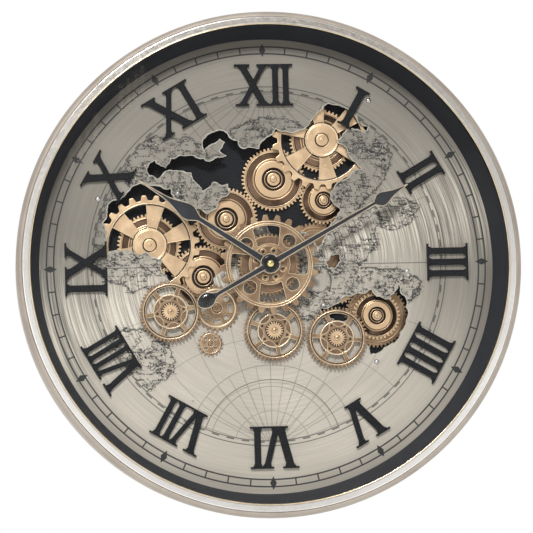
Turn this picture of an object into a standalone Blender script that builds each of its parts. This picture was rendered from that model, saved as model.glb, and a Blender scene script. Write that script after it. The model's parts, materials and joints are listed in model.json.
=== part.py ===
"""Gear wall clock: a round glazed case over a cut-out map dial with raised numerals. A quartz movement drives the
hands, and a motor turns a train of brass gears behind the dial.

The wall is the plane y = 0, the dial faces -Y and +Z is up. The origin is where the hanger bears on the wall.
Every piece is built in dial coordinates, x to the right, y up and z out of the wall from the dial's axis, under an
empty that turns them to face -Y.
"""

import math

import bmesh
import bpy
from mathutils import Matrix

MM = 0.001
REST_GAP = 0.3 * MM
RUN_GAP = 0.3 * MM
BORE_OVERRUN = 2 * MM
HELPER_OVERLAP = 0.5 * MM

# Case
CASE_RADIUS = 300 * MM
CASE_WALL = 3 * MM
CASE_STEPS = 36
BEZEL_WIDTH = 17 * MM
BEZEL_HEIGHT = 16 * MM
BEZEL_SHOULDER = 5 * MM
BEZEL_LIP = 4.7 * MM
BEZEL_SEAT = 4.4 * MM
GLASS_THICKNESS = 3 * MM
REHAUT_DEPTH = 39.6 * MM
REHAUT_WALL = 2 * MM
REHAUT_FLARE = 10.7 * MM
LEDGE_WIDTH = 35 * MM
LEDGE_THICKNESS = 1.7 * MM
PANEL_THICKNESS = 1.5 * MM
PANEL_EDGE_GAP = 0.5 * MM
DIAL_THICKNESS = 1.5 * MM
DIAL_EDGE_GAP = 6 * MM

# Hanger, whose bearing point lies below the inside of the case's wall
HANGER_DROP = 20 * MM
HANGER_SPAN = 80 * MM
HANGER_BRIDGE = 42 * MM
HANGER_SLOPE = 4 * MM
HANGER_ABOVE = 10 * MM
HANGER_BELOW = 22 * MM
HANGER_THICKNESS = 1.5 * MM
KEYHOLE_DROP = 14 * MM
KEYHOLE_RADIUS = 5 * MM
KEYHOLE_SLOT = 4.6 * MM
KEYHOLE_RISE = 9 * MM

# The map's drawing, whose points are x and y in millimetres from the dial's axis, and how it lies on the dial
MAP_SCALE = 0.982
MAP_TURN = math.radians(-1.5)

# Pillars under the dial's six screws, placed on the map
PILLAR_RADIUS = 4 * MM
PILLAR_PLACES = ((-207, 79), (-110, 87), (124, 204), (171, -6), (134, -117), (69, -48))

# Movement, arbor and hands
MOVEMENT_SIDE = 56 * MM
MOVEMENT_DEPTH = 16 * MM
BOX_CORNER = 5 * MM
CELL_RADIUS = 7.1 * MM
CELL_LENGTH = 49 * MM
CELL_NUB_RADIUS = 2.7 * MM
CELL_NUB_LENGTH = 1.3 * MM
BAY_GAP = 0.3 * MM
BAY_WALL = 2.4 * MM
KNOB_RADIUS = 7 * MM
KNOB_DEPTH = 3.2 * MM
KNOB_WALL_GAP = 1 * MM
ARBOR_RADIUS = 2.1 * MM
PIPE_WALL = 1 * MM
BUSH_WALL = 1.3 * MM
ROUND_STEPS = 12
BUSH_NUT_RADIUS = 8.5 * MM
BUSH_NUT_HEIGHT = 2.5 * MM
HAND_THICKNESS = 2 * MM
HAND_BOSS_RADIUS = 11.5 * MM
HOUR_HAND_LIFT = 1.7 * MM
MINUTE_HAND_LIFT = 1.5 * MM
HAND_NUT_RADIUS = 4 * MM
HAND_NUT_HEIGHT = 3.2 * MM
MINUTE_REACH = 190 * MM
MINUTE_TAIL = 99 * MM
MINUTE_STEM = 5.2 * MM
MINUTE_SPADE = 11 * MM
TEARDROP_WIDTH = 18 * MM
TEARDROP_LENGTH = 26 * MM
HOUR_REACH = 183 * MM
HOUR_STEM = 6.4 * MM
HOUR_SPADE = 19 * MM
MINUTE_DIRECTION = math.radians(28.8)
HOUR_DIRECTION = math.radians(146.5)

# Motor behind the panel, its slide switch and its shaft
MOTOR_LENGTH = 62 * MM
MOTOR_HEIGHT = 52 * MM
MOTOR_SHAFT_RADIUS = 3 * MM
MOTOR_SHAFT_SEAT = 4 * MM
SWITCH_LENGTH = 5 * MM
SWITCH_WIDTH = 4 * MM
SWITCH_TRAVEL = 4 * MM
SWITCH_SEAT = 2.5 * MM
SWITCH_STAND = 1.6 * MM

# Fine gears of the train, all of one module, from the top wheel's place on the map
MODULE = 1.56 * MM
LARGE_TEETH = 48
SMALL_TEETH = 36
PINION_TEETH = 20
ADDENDUM = 0.7
DEDENDUM = 1.25
BACKLASH = 0.5 * MM
WHEEL_THICKNESS = 3 * MM
BOWL_RISE = 4.7 * MM
BOWL_MARGIN = 6.4 * MM
BOWL_SLOPE = 8 * MM
BOWL_RING = 5 * MM
BOWL_DISH = 1.6 * MM
BOWL_STEPS = 12
TOP_PLACE = (8.1, 106.6)

# Posts that carry the gears
POST_RADIUS = 1.5 * MM
POST_FOOT_RADIUS = 5 * MM
POST_FOOT_THICKNESS = 1.4 * MM
POST_HEAD_RADIUS = 4 * MM
POST_CAP_RADIUS = 7.8 * MM
POST_HEAD_THICKNESS = 1.5 * MM
POST_STEPS = 8

# Coarse teeth, as shares of their pitch
COARSE_TIP_SHARE = 0.34
COARSE_ROOT_SHARE = 0.42

# Coarse spoked wheels on the left and right shafts
SPOKE_TEETH = 24
SPOKE_TIP_RADIUS = 60.1 * MM
SPOKE_ROOT_RADIUS = 53.8 * MM
SPOKE_RIM_WIDTH = 3.6 * MM
SPOKE_HUB_RADIUS = 20.6 * MM
SPOKE_THICKNESS = 3 * MM
SPOKE_HUB_STANDOFF = 1 * MM
SPOKE_HUB_RISE = 1.7 * MM
SPOKE_COUNT = 6
SPOKE_ANGLE = math.radians(26)
LEFT_SPOKES_AT = math.radians(20.5)
RIGHT_SPOKES_AT = math.radians(37.5)

# Fixed wheels in front of the dial, placed on the map, the ribbed ones with the angle of a spoke
CENTRE_TEETH = 24
CENTRE_TIP_RADIUS = 59 * MM
CENTRE_ROOT_RADIUS = 52.4 * MM
CENTRE_FINE_TEETH = 48
CENTRE_STANDOFF = 10 * MM
CENTRE_FINE_THICKNESS = 3 * MM
CENTRE_GAP = 3 * MM
CENTRE_THICKNESS = 4 * MM
CENTRE_BOSS_RADIUS = 17 * MM
CENTRE_WINDOW_INNER = 27.4 * MM
CENTRE_WINDOW_OUTER = 45.4 * MM
CENTRE_WINDOW_ANGLE = math.radians(48)
CENTRE_WINDOWS_AT = math.radians(3.5)
CENTRE_HOLE_RADIUS = 8.5 * MM
CENTRE_HOLE_CIRCLE = 36.2 * MM
RIBBED_TEETH = 48
RIBBED_TIP_RADIUS = 36.9 * MM
RIBBED_ROOT_RADIUS = 33.7 * MM
RIBBED_RIM_WIDTH = 4.4 * MM
RIBBED_HUB_RADIUS = 19.2 * MM
RIBBED_SPOKES = 6
RIBBED_SPOKE_ANGLE = math.radians(8)
RIBBED_STANDOFF = 4.5 * MM
RIBBED_THICKNESS = 3 * MM
RIBBED_FOOT_RADIUS = 8 * MM
RIBBED_STAR_POINT = 18.6 * MM
RIBBED_STAR_WAIST = 14.4 * MM
RIBBED_STAR_RISE = 0.9 * MM
RIBBED_BOSS_RADIUS = 10 * MM
RIBBED_BOSS_RISE = 3 * MM
RIBBED_WHEELS = (
    ("lower_left_ribbed_wheel", -119.0, -57.4, 9.5),
    ("lower_middle_ribbed_wheel", 7.5, -79.5, 39.5),
    ("lower_right_ribbed_wheel", 83.7, -88.1, -6.5),
)
PIERCED_TEETH = 28
PIERCED_TIP_RADIUS = 27.6 * MM
PIERCED_ROOT_RADIUS = 24.8 * MM
PIERCED_HUB_RADIUS = 6.5 * MM
PIERCED_PLACE = (-62.5, -52.5)
LITTLE_TEETH = 18
LITTLE_TIP_RADIUS = 15 * MM
LITTLE_ROOT_RADIUS = 12.4 * MM
LITTLE_HUB_RADIUS = 4.5 * MM
LITTLE_PLACE = (-69.9, -95.5)
FLAT_WHEEL_THICKNESS = 2.8 * MM
FLAT_WHEEL_HUB_RISE = 2 * MM

# Numerals
NUMERAL_INSET = 41 * MM
NUMERAL_HEIGHT = 50 * MM
NUMERAL_THICKNESS = 4.7 * MM
STROKE_WIDTH = 7.6 * MM
SLANT_WIDTH = 9.3 * MM
HAIRLINE_WIDTH = 7 * MM
SERIF_HEIGHT = 2.2 * MM
SERIF_REACH = 5 * MM
SERIF_JOIN = 6 * MM
BRACKET_HEIGHT = 5 * MM
BRACKET_REACH = 2.4 * MM
ARM_SPREAD = 14.5 * MM
APEX_SPREAD = 2.2 * MM
LETTER_ADVANCE = {"I": 14 * MM, "V": 36 * MM, "X": 46 * MM}

# Each numeral and how far it is widened or squeezed
NUMERALS = (
    ("I", 1.15), ("II", 1.05), ("III", 0.97), ("IIII", 0.97), ("V", 1), ("VI", 1),
    ("VII", 0.86), ("VIII", 0.77), ("IX", 1.03), ("X", 1.05), ("XI", 1), ("XII", 0.9),
)

# Cut-outs of the dial along the map's coasts, clockwise
MAIN_CUTOUT = (
    (-148, 117), (-139, 128), (-131, 121), (-125, 118), (-119, 130), (-94, 134), (-78, 130), (-75, 127),
    (-62, 132), (-51, 134), (-60, 140), (-53, 150), (-59, 154), (-68, 148), (-78, 137), (-80, 153),
    (-64, 164), (-55, 165), (-37, 153), (-33, 144), (-11, 143), (10, 168), (42, 167), (55, 181),
    (74, 200), (101, 191), (125, 172), (119, 164), (102, 169), (85, 154), (98, 144), (116, 120),
    (95, 106), (77, 89), (90, 68), (78, 52), (73, 38), (67, 26), (60, 23), (55, 32),
    (40, 42), (24, 45), (17, 37), (8, 33), (3, 38), (-2, 48), (-14, 52), (-30, 47),
    (-42, 34), (-53, 12), (-55, -3), (-66, -16), (-64, -25), (-72, -41), (-94, -51),
    (-109, -36), (-120, -20), (-130, -9), (-130, 6), (-149, 16), (-158, 11), (-198, 12), (-198, 25),
    (-201, 50), (-195, 72), (-175, 83), (-155, 99), (-134, 96), (-118, 93), (-115, 82), (-97, 72),
    (-74, 62), (-62, 70), (-60, 78), (-46, 89), (-49, 99), (-67, 101), (-80, 90), (-90, 102),
    (-94, 112), (-118, 115), (-135, 104), (-145, 108),
)
LOWER_CUTOUT = (
    (63, -52), (93, -37), (128, -28), (134, -37), (149, -40), (161, -21), (171, -41), (168, -74),
    (149, -97), (126, -108), (118, -91), (115, -72), (106, -63), (94, -68), (75, -64),
)
PEEP_HOLE = ((71, 4), (77, 13), (88, 14), (90, 6), (83, -3), (74, -3))

parts = bpy.data.collections.new("gear_wall_clock")
cutters = bpy.data.collections.new("cutters")
FINISHES = {
    "antique_silver": ((0.46, 0.43, 0.39), 0.35, 1.0),
    "brushed_dial": ((0.52, 0.50, 0.46), 0.4, 1.0),
    "black": ((0.03, 0.03, 0.034), 0.5, 0.0),
    "glass": ((0.9, 0.95, 0.95), 0.05, 0.0),
    "steel": ((0.55, 0.55, 0.55), 0.35, 1.0),
    "brass": ((0.62, 0.42, 0.22), 0.32, 1.0),
    "gunmetal": ((0.09, 0.09, 0.1), 0.3, 1.0),
    "black_plastic": ((0.04, 0.04, 0.042), 0.55, 0.0),
    "white_plastic": ((0.8, 0.8, 0.78), 0.5, 0.0),
    "cell_sleeve": ((0.12, 0.2, 0.3), 0.35, 0.3),
}


def finish(name):
    """The material of that name, made on first use."""
    if name in bpy.data.materials:
        return bpy.data.materials[name]
    colour, roughness, metallic = FINISHES[name]
    material = bpy.data.materials.new(name)
    material.use_nodes = True
    shader = material.node_tree.nodes["Principled BSDF"]
    shader.inputs["Base Color"].default_value = (*colour, 1)
    shader.inputs["Roughness"].default_value = roughness
    shader.inputs["Metallic"].default_value = metallic
    return material


def stand(name, data, place, material):
    """An object on the dial's axis frame. With no material it is a helper for a Boolean."""
    piece = bpy.data.objects.new(name, data)
    (parts if material else cutters).objects.link(piece)
    piece.parent = axis
    piece.location = (*place, 0)
    if material:
        data.materials.append(finish(material))
    else:
        piece.hide_render = True
        piece.display_type = "WIRE"
    return piece


def turned(name, profile, steps, place=(0, 0), material=None):
    """A solid of revolution about z: its profile is (radius, z), down the outer side and back up the inner one."""
    count = len(profile)
    mesh = bpy.data.meshes.new(name)
    closed = profile[0][0] > 0
    edges = [(i, (i + 1) % count) for i in range(count if closed else count - 1)]
    mesh.from_pydata([(radius, 0, height) for radius, height in profile], edges, [])
    piece = stand(name, mesh, place, material)
    screw = piece.modifiers.new("turn", "SCREW")
    screw.steps = steps
    screw.render_steps = steps
    screw.use_merge_vertices = True
    screw.merge_threshold = 0.00001
    return piece


def drum(radius, bottom, top):
    """The profile of a plain cylinder."""
    return [(0, top), (radius, top), (radius, bottom), (0, bottom)]


def tube(outer, inner, bottom, top):
    """The profile of a plain tube."""
    return [(inner, top), (outer, top), (outer, bottom), (inner, bottom)]


def plate(name, outlines, bottom, top, place=(0, 0), material=None):
    """A flat mesh between two heights: the first outline is its edge and the others are holes in it."""
    curve = bpy.data.curves.new(name, "CURVE")
    curve.dimensions = "2D"
    curve.fill_mode = "BOTH"
    curve.extrude = (top - bottom) / 2
    for outline in outlines:
        spline = curve.splines.new("POLY")
        spline.points.add(len(outline) - 1)
        for point, (x, y) in zip(spline.points, outline):
            point.co = (x, y, 0, 1)
        spline.use_cyclic_u = True
    flat = bpy.data.objects.new(name, curve)
    cutters.objects.link(flat)
    mesh = bpy.data.meshes.new_from_object(flat.evaluated_get(bpy.context.evaluated_depsgraph_get()))
    bpy.data.objects.remove(flat)
    bpy.data.curves.remove(curve)
    mesh.transform(Matrix.Translation((0, 0, (top + bottom) / 2)))
    shape = bmesh.new()
    shape.from_mesh(mesh)
    bmesh.ops.remove_doubles(shape, verts=shape.verts, dist=0.000001)
    bmesh.ops.recalc_face_normals(shape, faces=shape.faces)
    shape.to_mesh(mesh)
    shape.free()
    mesh.name = name
    mesh.materials.clear()
    return stand(name, mesh, place, material)


def combine(piece, other, operation):
    """A Boolean of the piece with a helper."""
    boolean = piece.modifiers.new(other.name, "BOOLEAN")
    boolean.operation = operation
    boolean.object = other
    boolean.solver = "EXACT"


def bored(piece, radius, bottom, top, place, steps=POST_STEPS):
    """Cuts a round hole through the piece, past both of its faces."""
    name = f"{piece.name}_bore_{len(piece.modifiers)}"
    combine(piece, turned(name, drum(radius, bottom - BORE_OVERRUN, top + BORE_OVERRUN), steps, place), "DIFFERENCE")


def polar(radius, angle, centre=(0, 0)):
    return (centre[0] + radius * math.cos(angle), centre[1] + radius * math.sin(angle))


def circle(radius, centre=(0, 0), steps=8):
    return [polar(radius, 2 * math.pi * step / steps, centre) for step in range(steps)]


def set_out(points):
    """Points of the map's drawing as they lie on the dial."""
    unit = MAP_SCALE * MM
    right, up = math.cos(MAP_TURN) * unit, math.sin(MAP_TURN) * unit
    return [(x * right - y * up, x * up + y * right) for x, y in points]


def teeth_outline(teeth, root, tip, tip_share, root_share, phase):
    """A toothed rim: a tooth stands at the phase, and tip and root take a share of the pitch, or a point at 0."""
    pitch = 2 * math.pi / teeth
    points = []
    for tooth in range(teeth):
        middle = phase + tooth * pitch
        for radius, share, centre in ((tip, tip_share, middle), (root, root_share, middle + pitch / 2)):
            if share:
                points.append(polar(radius, centre - share * pitch / 2))
                points.append(polar(radius, centre + share * pitch / 2))
            else:
                points.append(polar(radius, centre))
    return points


def sector(inner, outer, middle, inner_angle, outer_angle):
    """A window between two spokes: arcs inside and outside, each of three points."""
    outside = [polar(outer, middle + outer_angle * share) for share in (-0.5, 0, 0.5)]
    inside = [polar(inner, middle + inner_angle * share) for share in (0.5, 0, -0.5)]
    return outside + inside


def spoke_windows(count, inner, outer, spoke_angle, spokes_at, spoke_root_angle):
    """Windows between spokes that widen from root to rim."""
    pitch = 2 * math.pi / count
    return [
        sector(inner, outer, spokes_at + pitch * (i + 0.5), pitch - spoke_root_angle, pitch - spoke_angle)
        for i in range(count)
    ]


def mesh_phase(driver_phase, driver_teeth, teeth, direction):
    """The phase of a wheel whose teeth lie in the gaps of the wheel that it meshes with, which lies behind it."""
    return direction + math.pi - (driver_phase - direction) * driver_teeth / teeth - math.pi / teeth


def pitch_radius(teeth):
    return MODULE * teeth / 2


def fine_outline(teeth, phase):
    """A fine wheel's rim, with pointed teeth thinned by the backlash."""
    middle = pitch_radius(teeth)
    tip = middle + ADDENDUM * MODULE - BACKLASH / 2
    return teeth_outline(teeth, middle - DEDENDUM * MODULE - BACKLASH / 2, tip, 0, 0, phase)


# Heights above the wall, each stacked on the one before
knob_top = KNOB_WALL_GAP + KNOB_DEPTH
box_bottom = knob_top + REST_GAP
box_top = box_bottom + MOVEMENT_DEPTH
panel_bottom = box_top + REST_GAP
panel_top = panel_bottom + PANEL_THICKNESS
foot_bottom = panel_top + REST_GAP
wheel_bottom = foot_bottom + POST_FOOT_THICKNESS + REST_GAP
wheel_top = wheel_bottom + WHEEL_THICKNESS
bowl_top = wheel_top + BOWL_RISE
spoke_hub_bottom = bowl_top + REST_GAP
spoke_bottom = spoke_hub_bottom + SPOKE_HUB_STANDOFF
spoke_top = spoke_bottom + SPOKE_THICKNESS
spoke_hub_top = spoke_top + SPOKE_HUB_RISE
dial_bottom = spoke_hub_top + REST_GAP + POST_HEAD_THICKNESS + RUN_GAP
dial_top = dial_bottom + DIAL_THICKNESS
seat = dial_top + REST_GAP
rehaut_top = seat + REHAUT_DEPTH
glass_bottom = rehaut_top + REST_GAP
glass_top = glass_bottom + GLASS_THICKNESS
lip_bottom = glass_top + REST_GAP
lip_top = lip_bottom + BEZEL_LIP
bezel_bottom = lip_top - BEZEL_HEIGHT
centre_fine_bottom = seat + CENTRE_STANDOFF
centre_fine_top = centre_fine_bottom + CENTRE_FINE_THICKNESS
centre_bottom = centre_fine_top + CENTRE_GAP + REST_GAP
centre_top = centre_bottom + CENTRE_THICKNESS
bush_nut_bottom = centre_top + REST_GAP
bush_top = bush_nut_bottom + BUSH_NUT_HEIGHT
hour_bottom = bush_top + HOUR_HAND_LIFT
hour_top = hour_bottom + HAND_THICKNESS
minute_bottom = hour_top + MINUTE_HAND_LIFT
minute_top = minute_bottom + HAND_THICKNESS
hand_nut_bottom = minute_top + REST_GAP
hand_nut_top = hand_nut_bottom + HAND_NUT_HEIGHT

# Radii that follow from the case and the arbor
lip_radius = CASE_RADIUS - BEZEL_WIDTH
inner_wall = CASE_RADIUS - CASE_WALL
hanger_height = inner_wall - HANGER_DROP
dial_radius = inner_wall - DIAL_EDGE_GAP
glass_radius = lip_radius + BEZEL_SEAT - RUN_GAP
pipe_inner = ARBOR_RADIUS + RUN_GAP
pipe_outer = pipe_inner + PIPE_WALL
bush_inner = pipe_outer + RUN_GAP
bush_outer = bush_inner + BUSH_WALL
post_bore = POST_RADIUS + RUN_GAP


def build_case():
    turned("case_drum", [
        (inner_wall, bezel_bottom - REST_GAP), (CASE_RADIUS, bezel_bottom - REST_GAP), (CASE_RADIUS, 0),
        (inner_wall, 0), (inner_wall, panel_bottom - REST_GAP - LEDGE_THICKNESS),
        (inner_wall - LEDGE_WIDTH, panel_bottom - REST_GAP - LEDGE_THICKNESS),
        (inner_wall - LEDGE_WIDTH, panel_bottom - REST_GAP), (inner_wall, panel_bottom - REST_GAP),
    ], CASE_STEPS, material="antique_silver")
    seat_radius = lip_radius + BEZEL_SEAT
    turned("bezel", [
        (lip_radius, lip_top - BEZEL_LIP * 0.2), (lip_radius + BEZEL_LIP * 0.25, lip_top),
        (CASE_RADIUS - BEZEL_SHOULDER, lip_top - BEZEL_SHOULDER * 0.2),
        (CASE_RADIUS - BEZEL_SHOULDER * 0.25, lip_top - BEZEL_SHOULDER * 0.8),
        (CASE_RADIUS, lip_top - BEZEL_SHOULDER * 1.5), (CASE_RADIUS, bezel_bottom),
        (seat_radius, bezel_bottom), (seat_radius, lip_bottom), (lip_radius, lip_bottom),
    ], CASE_STEPS, material="antique_silver")
    turned("front_glass", drum(glass_radius, glass_bottom, glass_top), CASE_STEPS, material="glass")
    foot_radius = lip_radius - REHAUT_FLARE
    turned("rehaut_ring", [
        (lip_radius, rehaut_top), (lip_radius + REHAUT_WALL, rehaut_top), (foot_radius + REHAUT_WALL, seat),
        (foot_radius, seat),
    ], CASE_STEPS, material="black")


def build_panel():
    shaft_hole = circle(MOTOR_SHAFT_RADIUS + 2 * RUN_GAP, train["motor_pinion"].place)
    holes = [circle(bush_outer + RUN_GAP, steps=ROUND_STEPS), shaft_hole]
    edge = circle(inner_wall - PANEL_EDGE_GAP, steps=CASE_STEPS)
    panel = plate("back_panel", [edge, *holes], panel_bottom, panel_top, material="black")
    for number, place in enumerate(set_out(PILLAR_PLACES), 1):
        height = (panel_top - HELPER_OVERLAP, dial_bottom - REST_GAP)
        combine(panel, turned(f"pillar_{number}", drum(PILLAR_RADIUS, *height), POST_STEPS, place), "UNION")


def build_dial():
    outlines = [circle(dial_radius, steps=CASE_STEPS), circle(bush_outer + RUN_GAP, steps=ROUND_STEPS)]
    outlines += [set_out(cutout) for cutout in (MAIN_CUTOUT, LOWER_CUTOUT, PEEP_HOLE)]
    plate("dial_plate", outlines, dial_bottom, dial_top, material="brushed_dial")


def build_hanger():
    """A strap bent up from two feet on the case's ledge to a bridge against the wall, with a keyhole through it."""
    foot_top = panel_bottom - LEDGE_THICKNESS - 2 * REST_GAP
    foot, bridge, thick = HANGER_SPAN / 2, HANGER_BRIDGE / 2, HANGER_THICKNESS
    rear = [(bridge + HANGER_SLOPE, foot_top - thick), (bridge, 0)]
    front = [(bridge - thick, thick), (bridge + HANGER_SLOPE - thick, foot_top)]
    half = [*rear[::-1], (foot, foot_top - thick), (foot, foot_top), *front[::-1]]
    outline = half + [(-x, height) for x, height in half[::-1]]
    strap = plate("hanger_plate", [outline], -HANGER_ABOVE, HANGER_BELOW, (0, hanger_height), "steel")
    strap.rotation_euler.x = math.pi / 2
    hole = hanger_height - KEYHOLE_DROP
    bored(strap, KEYHOLE_RADIUS, 0, thick, (0, hole))
    half_slot = KEYHOLE_SLOT / 2
    slot = [(-half_slot, 0), (half_slot, 0), (half_slot, KEYHOLE_RISE), (-half_slot, KEYHOLE_RISE)]
    combine(strap, plate("keyhole_slot", [slot], -BORE_OVERRUN, thick + BORE_OVERRUN, (0, hole)), "DIFFERENCE")


def rounded_box(length, height):
    """A rectangle about the origin with chamfered corners."""
    x, y, corner = length / 2, height / 2, BOX_CORNER
    return [
        (x - corner, -y), (x, corner - y), (x, y - corner), (x - corner, y),
        (corner - x, y), (-x, y - corner), (-x, corner - y), (corner - x, -y),
    ]


def build_box(name, length, height, centre, cell_name):
    """A plastic box against the panel's back, with a bay open to the rear that holds one cell along its lower edge."""
    box = plate(name, [rounded_box(length, height)], box_bottom, box_top, centre, "black_plastic")
    bay_length = CELL_LENGTH + CELL_NUB_LENGTH + 2 * BAY_GAP
    bay_height = 2 * (CELL_RADIUS + BAY_GAP)
    bay_bottom = centre[1] - height / 2 + BAY_WALL
    left = centre[0] - bay_length / 2
    bay = [(0, 0), (bay_length, 0), (bay_length, bay_height), (0, bay_height)]
    floor = box_bottom + 2 * (CELL_RADIUS + BAY_GAP)
    combine(box, plate(f"{name}_bay", [bay], box_bottom - BORE_OVERRUN, floor, (left, bay_bottom)), "DIFFERENCE")
    body, tip = CELL_LENGTH, CELL_LENGTH + CELL_NUB_LENGTH
    profile = [(0, tip), (CELL_NUB_RADIUS, tip), (CELL_NUB_RADIUS, body), (CELL_RADIUS, body), (CELL_RADIUS, 0), (0, 0)]
    cell = turned(cell_name, profile, ROUND_STEPS, (left + BAY_GAP, bay_bottom + bay_height / 2), "cell_sleeve")
    cell.location.z = box_bottom + BAY_GAP + CELL_RADIUS
    cell.rotation_euler.y = math.pi / 2
    return box


def build_movement():
    case = build_box("movement_case", MOVEMENT_SIDE, MOVEMENT_SIDE, (0, 0), "movement_cell")
    bored(case, pipe_inner, box_bottom, box_top, (0, 0), ROUND_STEPS)
    turned("movement_bush", tube(bush_outer, bush_inner, box_top + REST_GAP, bush_top), ROUND_STEPS,
           material="brass")
    hexagon = circle(BUSH_NUT_RADIUS, steps=6)
    thread = circle(bush_outer + RUN_GAP, steps=ROUND_STEPS)
    plate("bush_nut", [hexagon, thread], bush_nut_bottom, bush_top, material="brass")
    turned("hour_pipe", tube(pipe_outer, pipe_inner, box_top + REST_GAP, hour_top), ROUND_STEPS, material="brass")
    turned("minute_arbor", drum(ARBOR_RADIUS, KNOB_WALL_GAP, hand_nut_top), ROUND_STEPS, material="steel")
    turned("set_knob", tube(KNOB_RADIUS, pipe_inner, KNOB_WALL_GAP, knob_top), ROUND_STEPS, material="black_plastic")
    turned("hand_nut", tube(HAND_NUT_RADIUS, pipe_inner, hand_nut_bottom, hand_nut_top), ROUND_STEPS,
           material="brass")


def hand_outline(profile, boss_at):
    """A hand along +x from its (distance, half width) profile, with the arc of its boss put in after boss_at points."""
    stem = profile[boss_at][1]
    start = math.asin(stem / HAND_BOSS_RADIUS)
    first = math.pi - start if boss_at else math.pi
    arc = [polar(HAND_BOSS_RADIUS, first + (start - first) * step / 6) for step in range(7)]
    half = profile[:boss_at] + arc + profile[boss_at:]
    lower = [(x, -y) for x, y in half[::-1] if y > HELPER_OVERLAP / 2]
    return half + lower


def build_hands():
    stem, spade = MINUTE_STEM / 2, MINUTE_SPADE / 2
    drop, belly = TEARDROP_LENGTH, TEARDROP_WIDTH / 2
    tail = [(-MINUTE_TAIL, 0), (drop * 0.08 - MINUTE_TAIL, belly * 0.5), (drop * 0.22 - MINUTE_TAIL, belly * 0.85),
            (drop * 0.42 - MINUTE_TAIL, belly), (drop * 0.65 - MINUTE_TAIL, belly * 0.75), (drop - MINUTE_TAIL, stem)]
    reach = MINUTE_REACH
    point = [(reach * 0.79, stem), (reach * 0.83, spade * 0.85), (reach * 0.855, spade), (reach * 0.88, spade * 0.75),
             (reach * 0.93, spade * 0.4), (reach, 0)]
    outline = hand_outline(tail + point, len(tail))
    bore = circle(pipe_inner, steps=ROUND_STEPS)
    minute = plate("minute_hand", [outline, bore], minute_bottom, minute_top, material="gunmetal")
    minute.rotation_euler.z = MINUTE_DIRECTION
    stem, spade, reach = HOUR_STEM / 2, HOUR_SPADE / 2, HOUR_REACH
    point = [(reach * 0.5, stem), (reach * 0.545, spade * 0.75), (reach * 0.585, spade), (reach * 0.63, spade * 0.8),
             (reach * 0.71, spade * 0.3), (reach * 0.8, spade * 0.16), (reach, 0)]
    outline = hand_outline(point, 0)
    bore = circle(pipe_outer + RUN_GAP, steps=ROUND_STEPS)
    hour = plate("hour_hand", [outline, bore], hour_bottom, hour_top, material="gunmetal")
    hour.rotation_euler.z = HOUR_DIRECTION


class Wheel:
    """A place, a tooth count and a phase in the train."""

    def __init__(self, teeth, place, phase):
        self.teeth = teeth
        self.place = place
        self.phase = phase

    def next(self, teeth, direction_degrees):
        """The wheel that meshes with this one in that direction on the map."""
        direction = math.radians(direction_degrees) + MAP_TURN
        place = polar(pitch_radius(self.teeth) + pitch_radius(teeth), direction, self.place)
        return Wheel(teeth, place, mesh_phase(self.phase, self.teeth, teeth, direction))


def lay_out_train():
    """The train from the top wheel: a chain down the left, the right wheel, and a chain down the right."""
    top = Wheel(LARGE_TEETH, set_out([TOP_PLACE])[0], 0)
    upper_left = top.next(LARGE_TEETH, 220.6)
    lower_left = upper_left.next(LARGE_TEETH, 248.7)
    left = lower_left.next(LARGE_TEETH, 150.2)
    small = top.next(SMALL_TEETH, -22.2)
    hidden = small.next(LARGE_TEETH, 261.6)
    pinion = hidden.next(PINION_TEETH, -55.6)
    return {
        "top": top,
        "upper_left": upper_left,
        "lower_left": lower_left,
        "left": left,
        "right": top.next(LARGE_TEETH, 39.5),
        "small": small,
        "hidden": hidden,
        "motor_pinion": pinion,
        "lower_right": pinion.next(LARGE_TEETH, -34.7),
    }


def build_bowl(name, wheel, bottom=None):
    """A toothed disc with a raised bowl on it: a sloping wall, a bright ring, a dished floor and a centre cap."""
    low = wheel_bottom if bottom is None else bottom
    high, crown = low + WHEEL_THICKNESS, low + WHEEL_THICKNESS + BOWL_RISE
    disc = plate(name, [fine_outline(wheel.teeth, wheel.phase)], low, high, wheel.place, "brass")
    foot = pitch_radius(wheel.teeth) - BOWL_MARGIN
    ring = foot - BOWL_SLOPE
    floor = ring - BOWL_RING
    cap = floor / 2
    bowl = turned(f"{name}_bowl", [
        (0, crown), (cap, crown), (cap, crown - BOWL_DISH), (floor, crown - BOWL_DISH), (floor, crown), (ring, crown),
        (foot, high), (foot, high - HELPER_OVERLAP), (0, high - HELPER_OVERLAP),
    ], BOWL_STEPS, wheel.place)
    combine(disc, bowl, "UNION")
    bored(disc, post_bore, low, crown, wheel.place)


def build_flat(name, wheel):
    """A toothed disc with a plain boss up to the height of the bowls."""
    disc = plate(name, [fine_outline(wheel.teeth, wheel.phase)], wheel_bottom, wheel_top, wheel.place, "brass")
    boss = drum(POST_FOOT_RADIUS, wheel_top - HELPER_OVERLAP, bowl_top)
    combine(disc, turned(f"{name}_boss", boss, POST_STEPS, wheel.place), "UNION")
    bored(disc, post_bore, wheel_bottom, bowl_top, wheel.place)


def build_post(name, wheel, head_bottom, head_radius):
    """A pin with a foot on the back panel and a rounded head over the wheel that turns on it."""
    head_top = head_bottom + POST_HEAD_THICKNESS
    turned(name, [
        (0, head_top), (head_radius * 0.6, head_top), (head_radius, head_top - POST_HEAD_THICKNESS * 0.4),
        (head_radius, head_bottom), (POST_RADIUS, head_bottom), (POST_RADIUS, foot_bottom + POST_FOOT_THICKNESS),
        (POST_FOOT_RADIUS, foot_bottom + POST_FOOT_THICKNESS), (POST_FOOT_RADIUS, foot_bottom), (0, foot_bottom),
    ], POST_STEPS, wheel.place, "brass")


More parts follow.
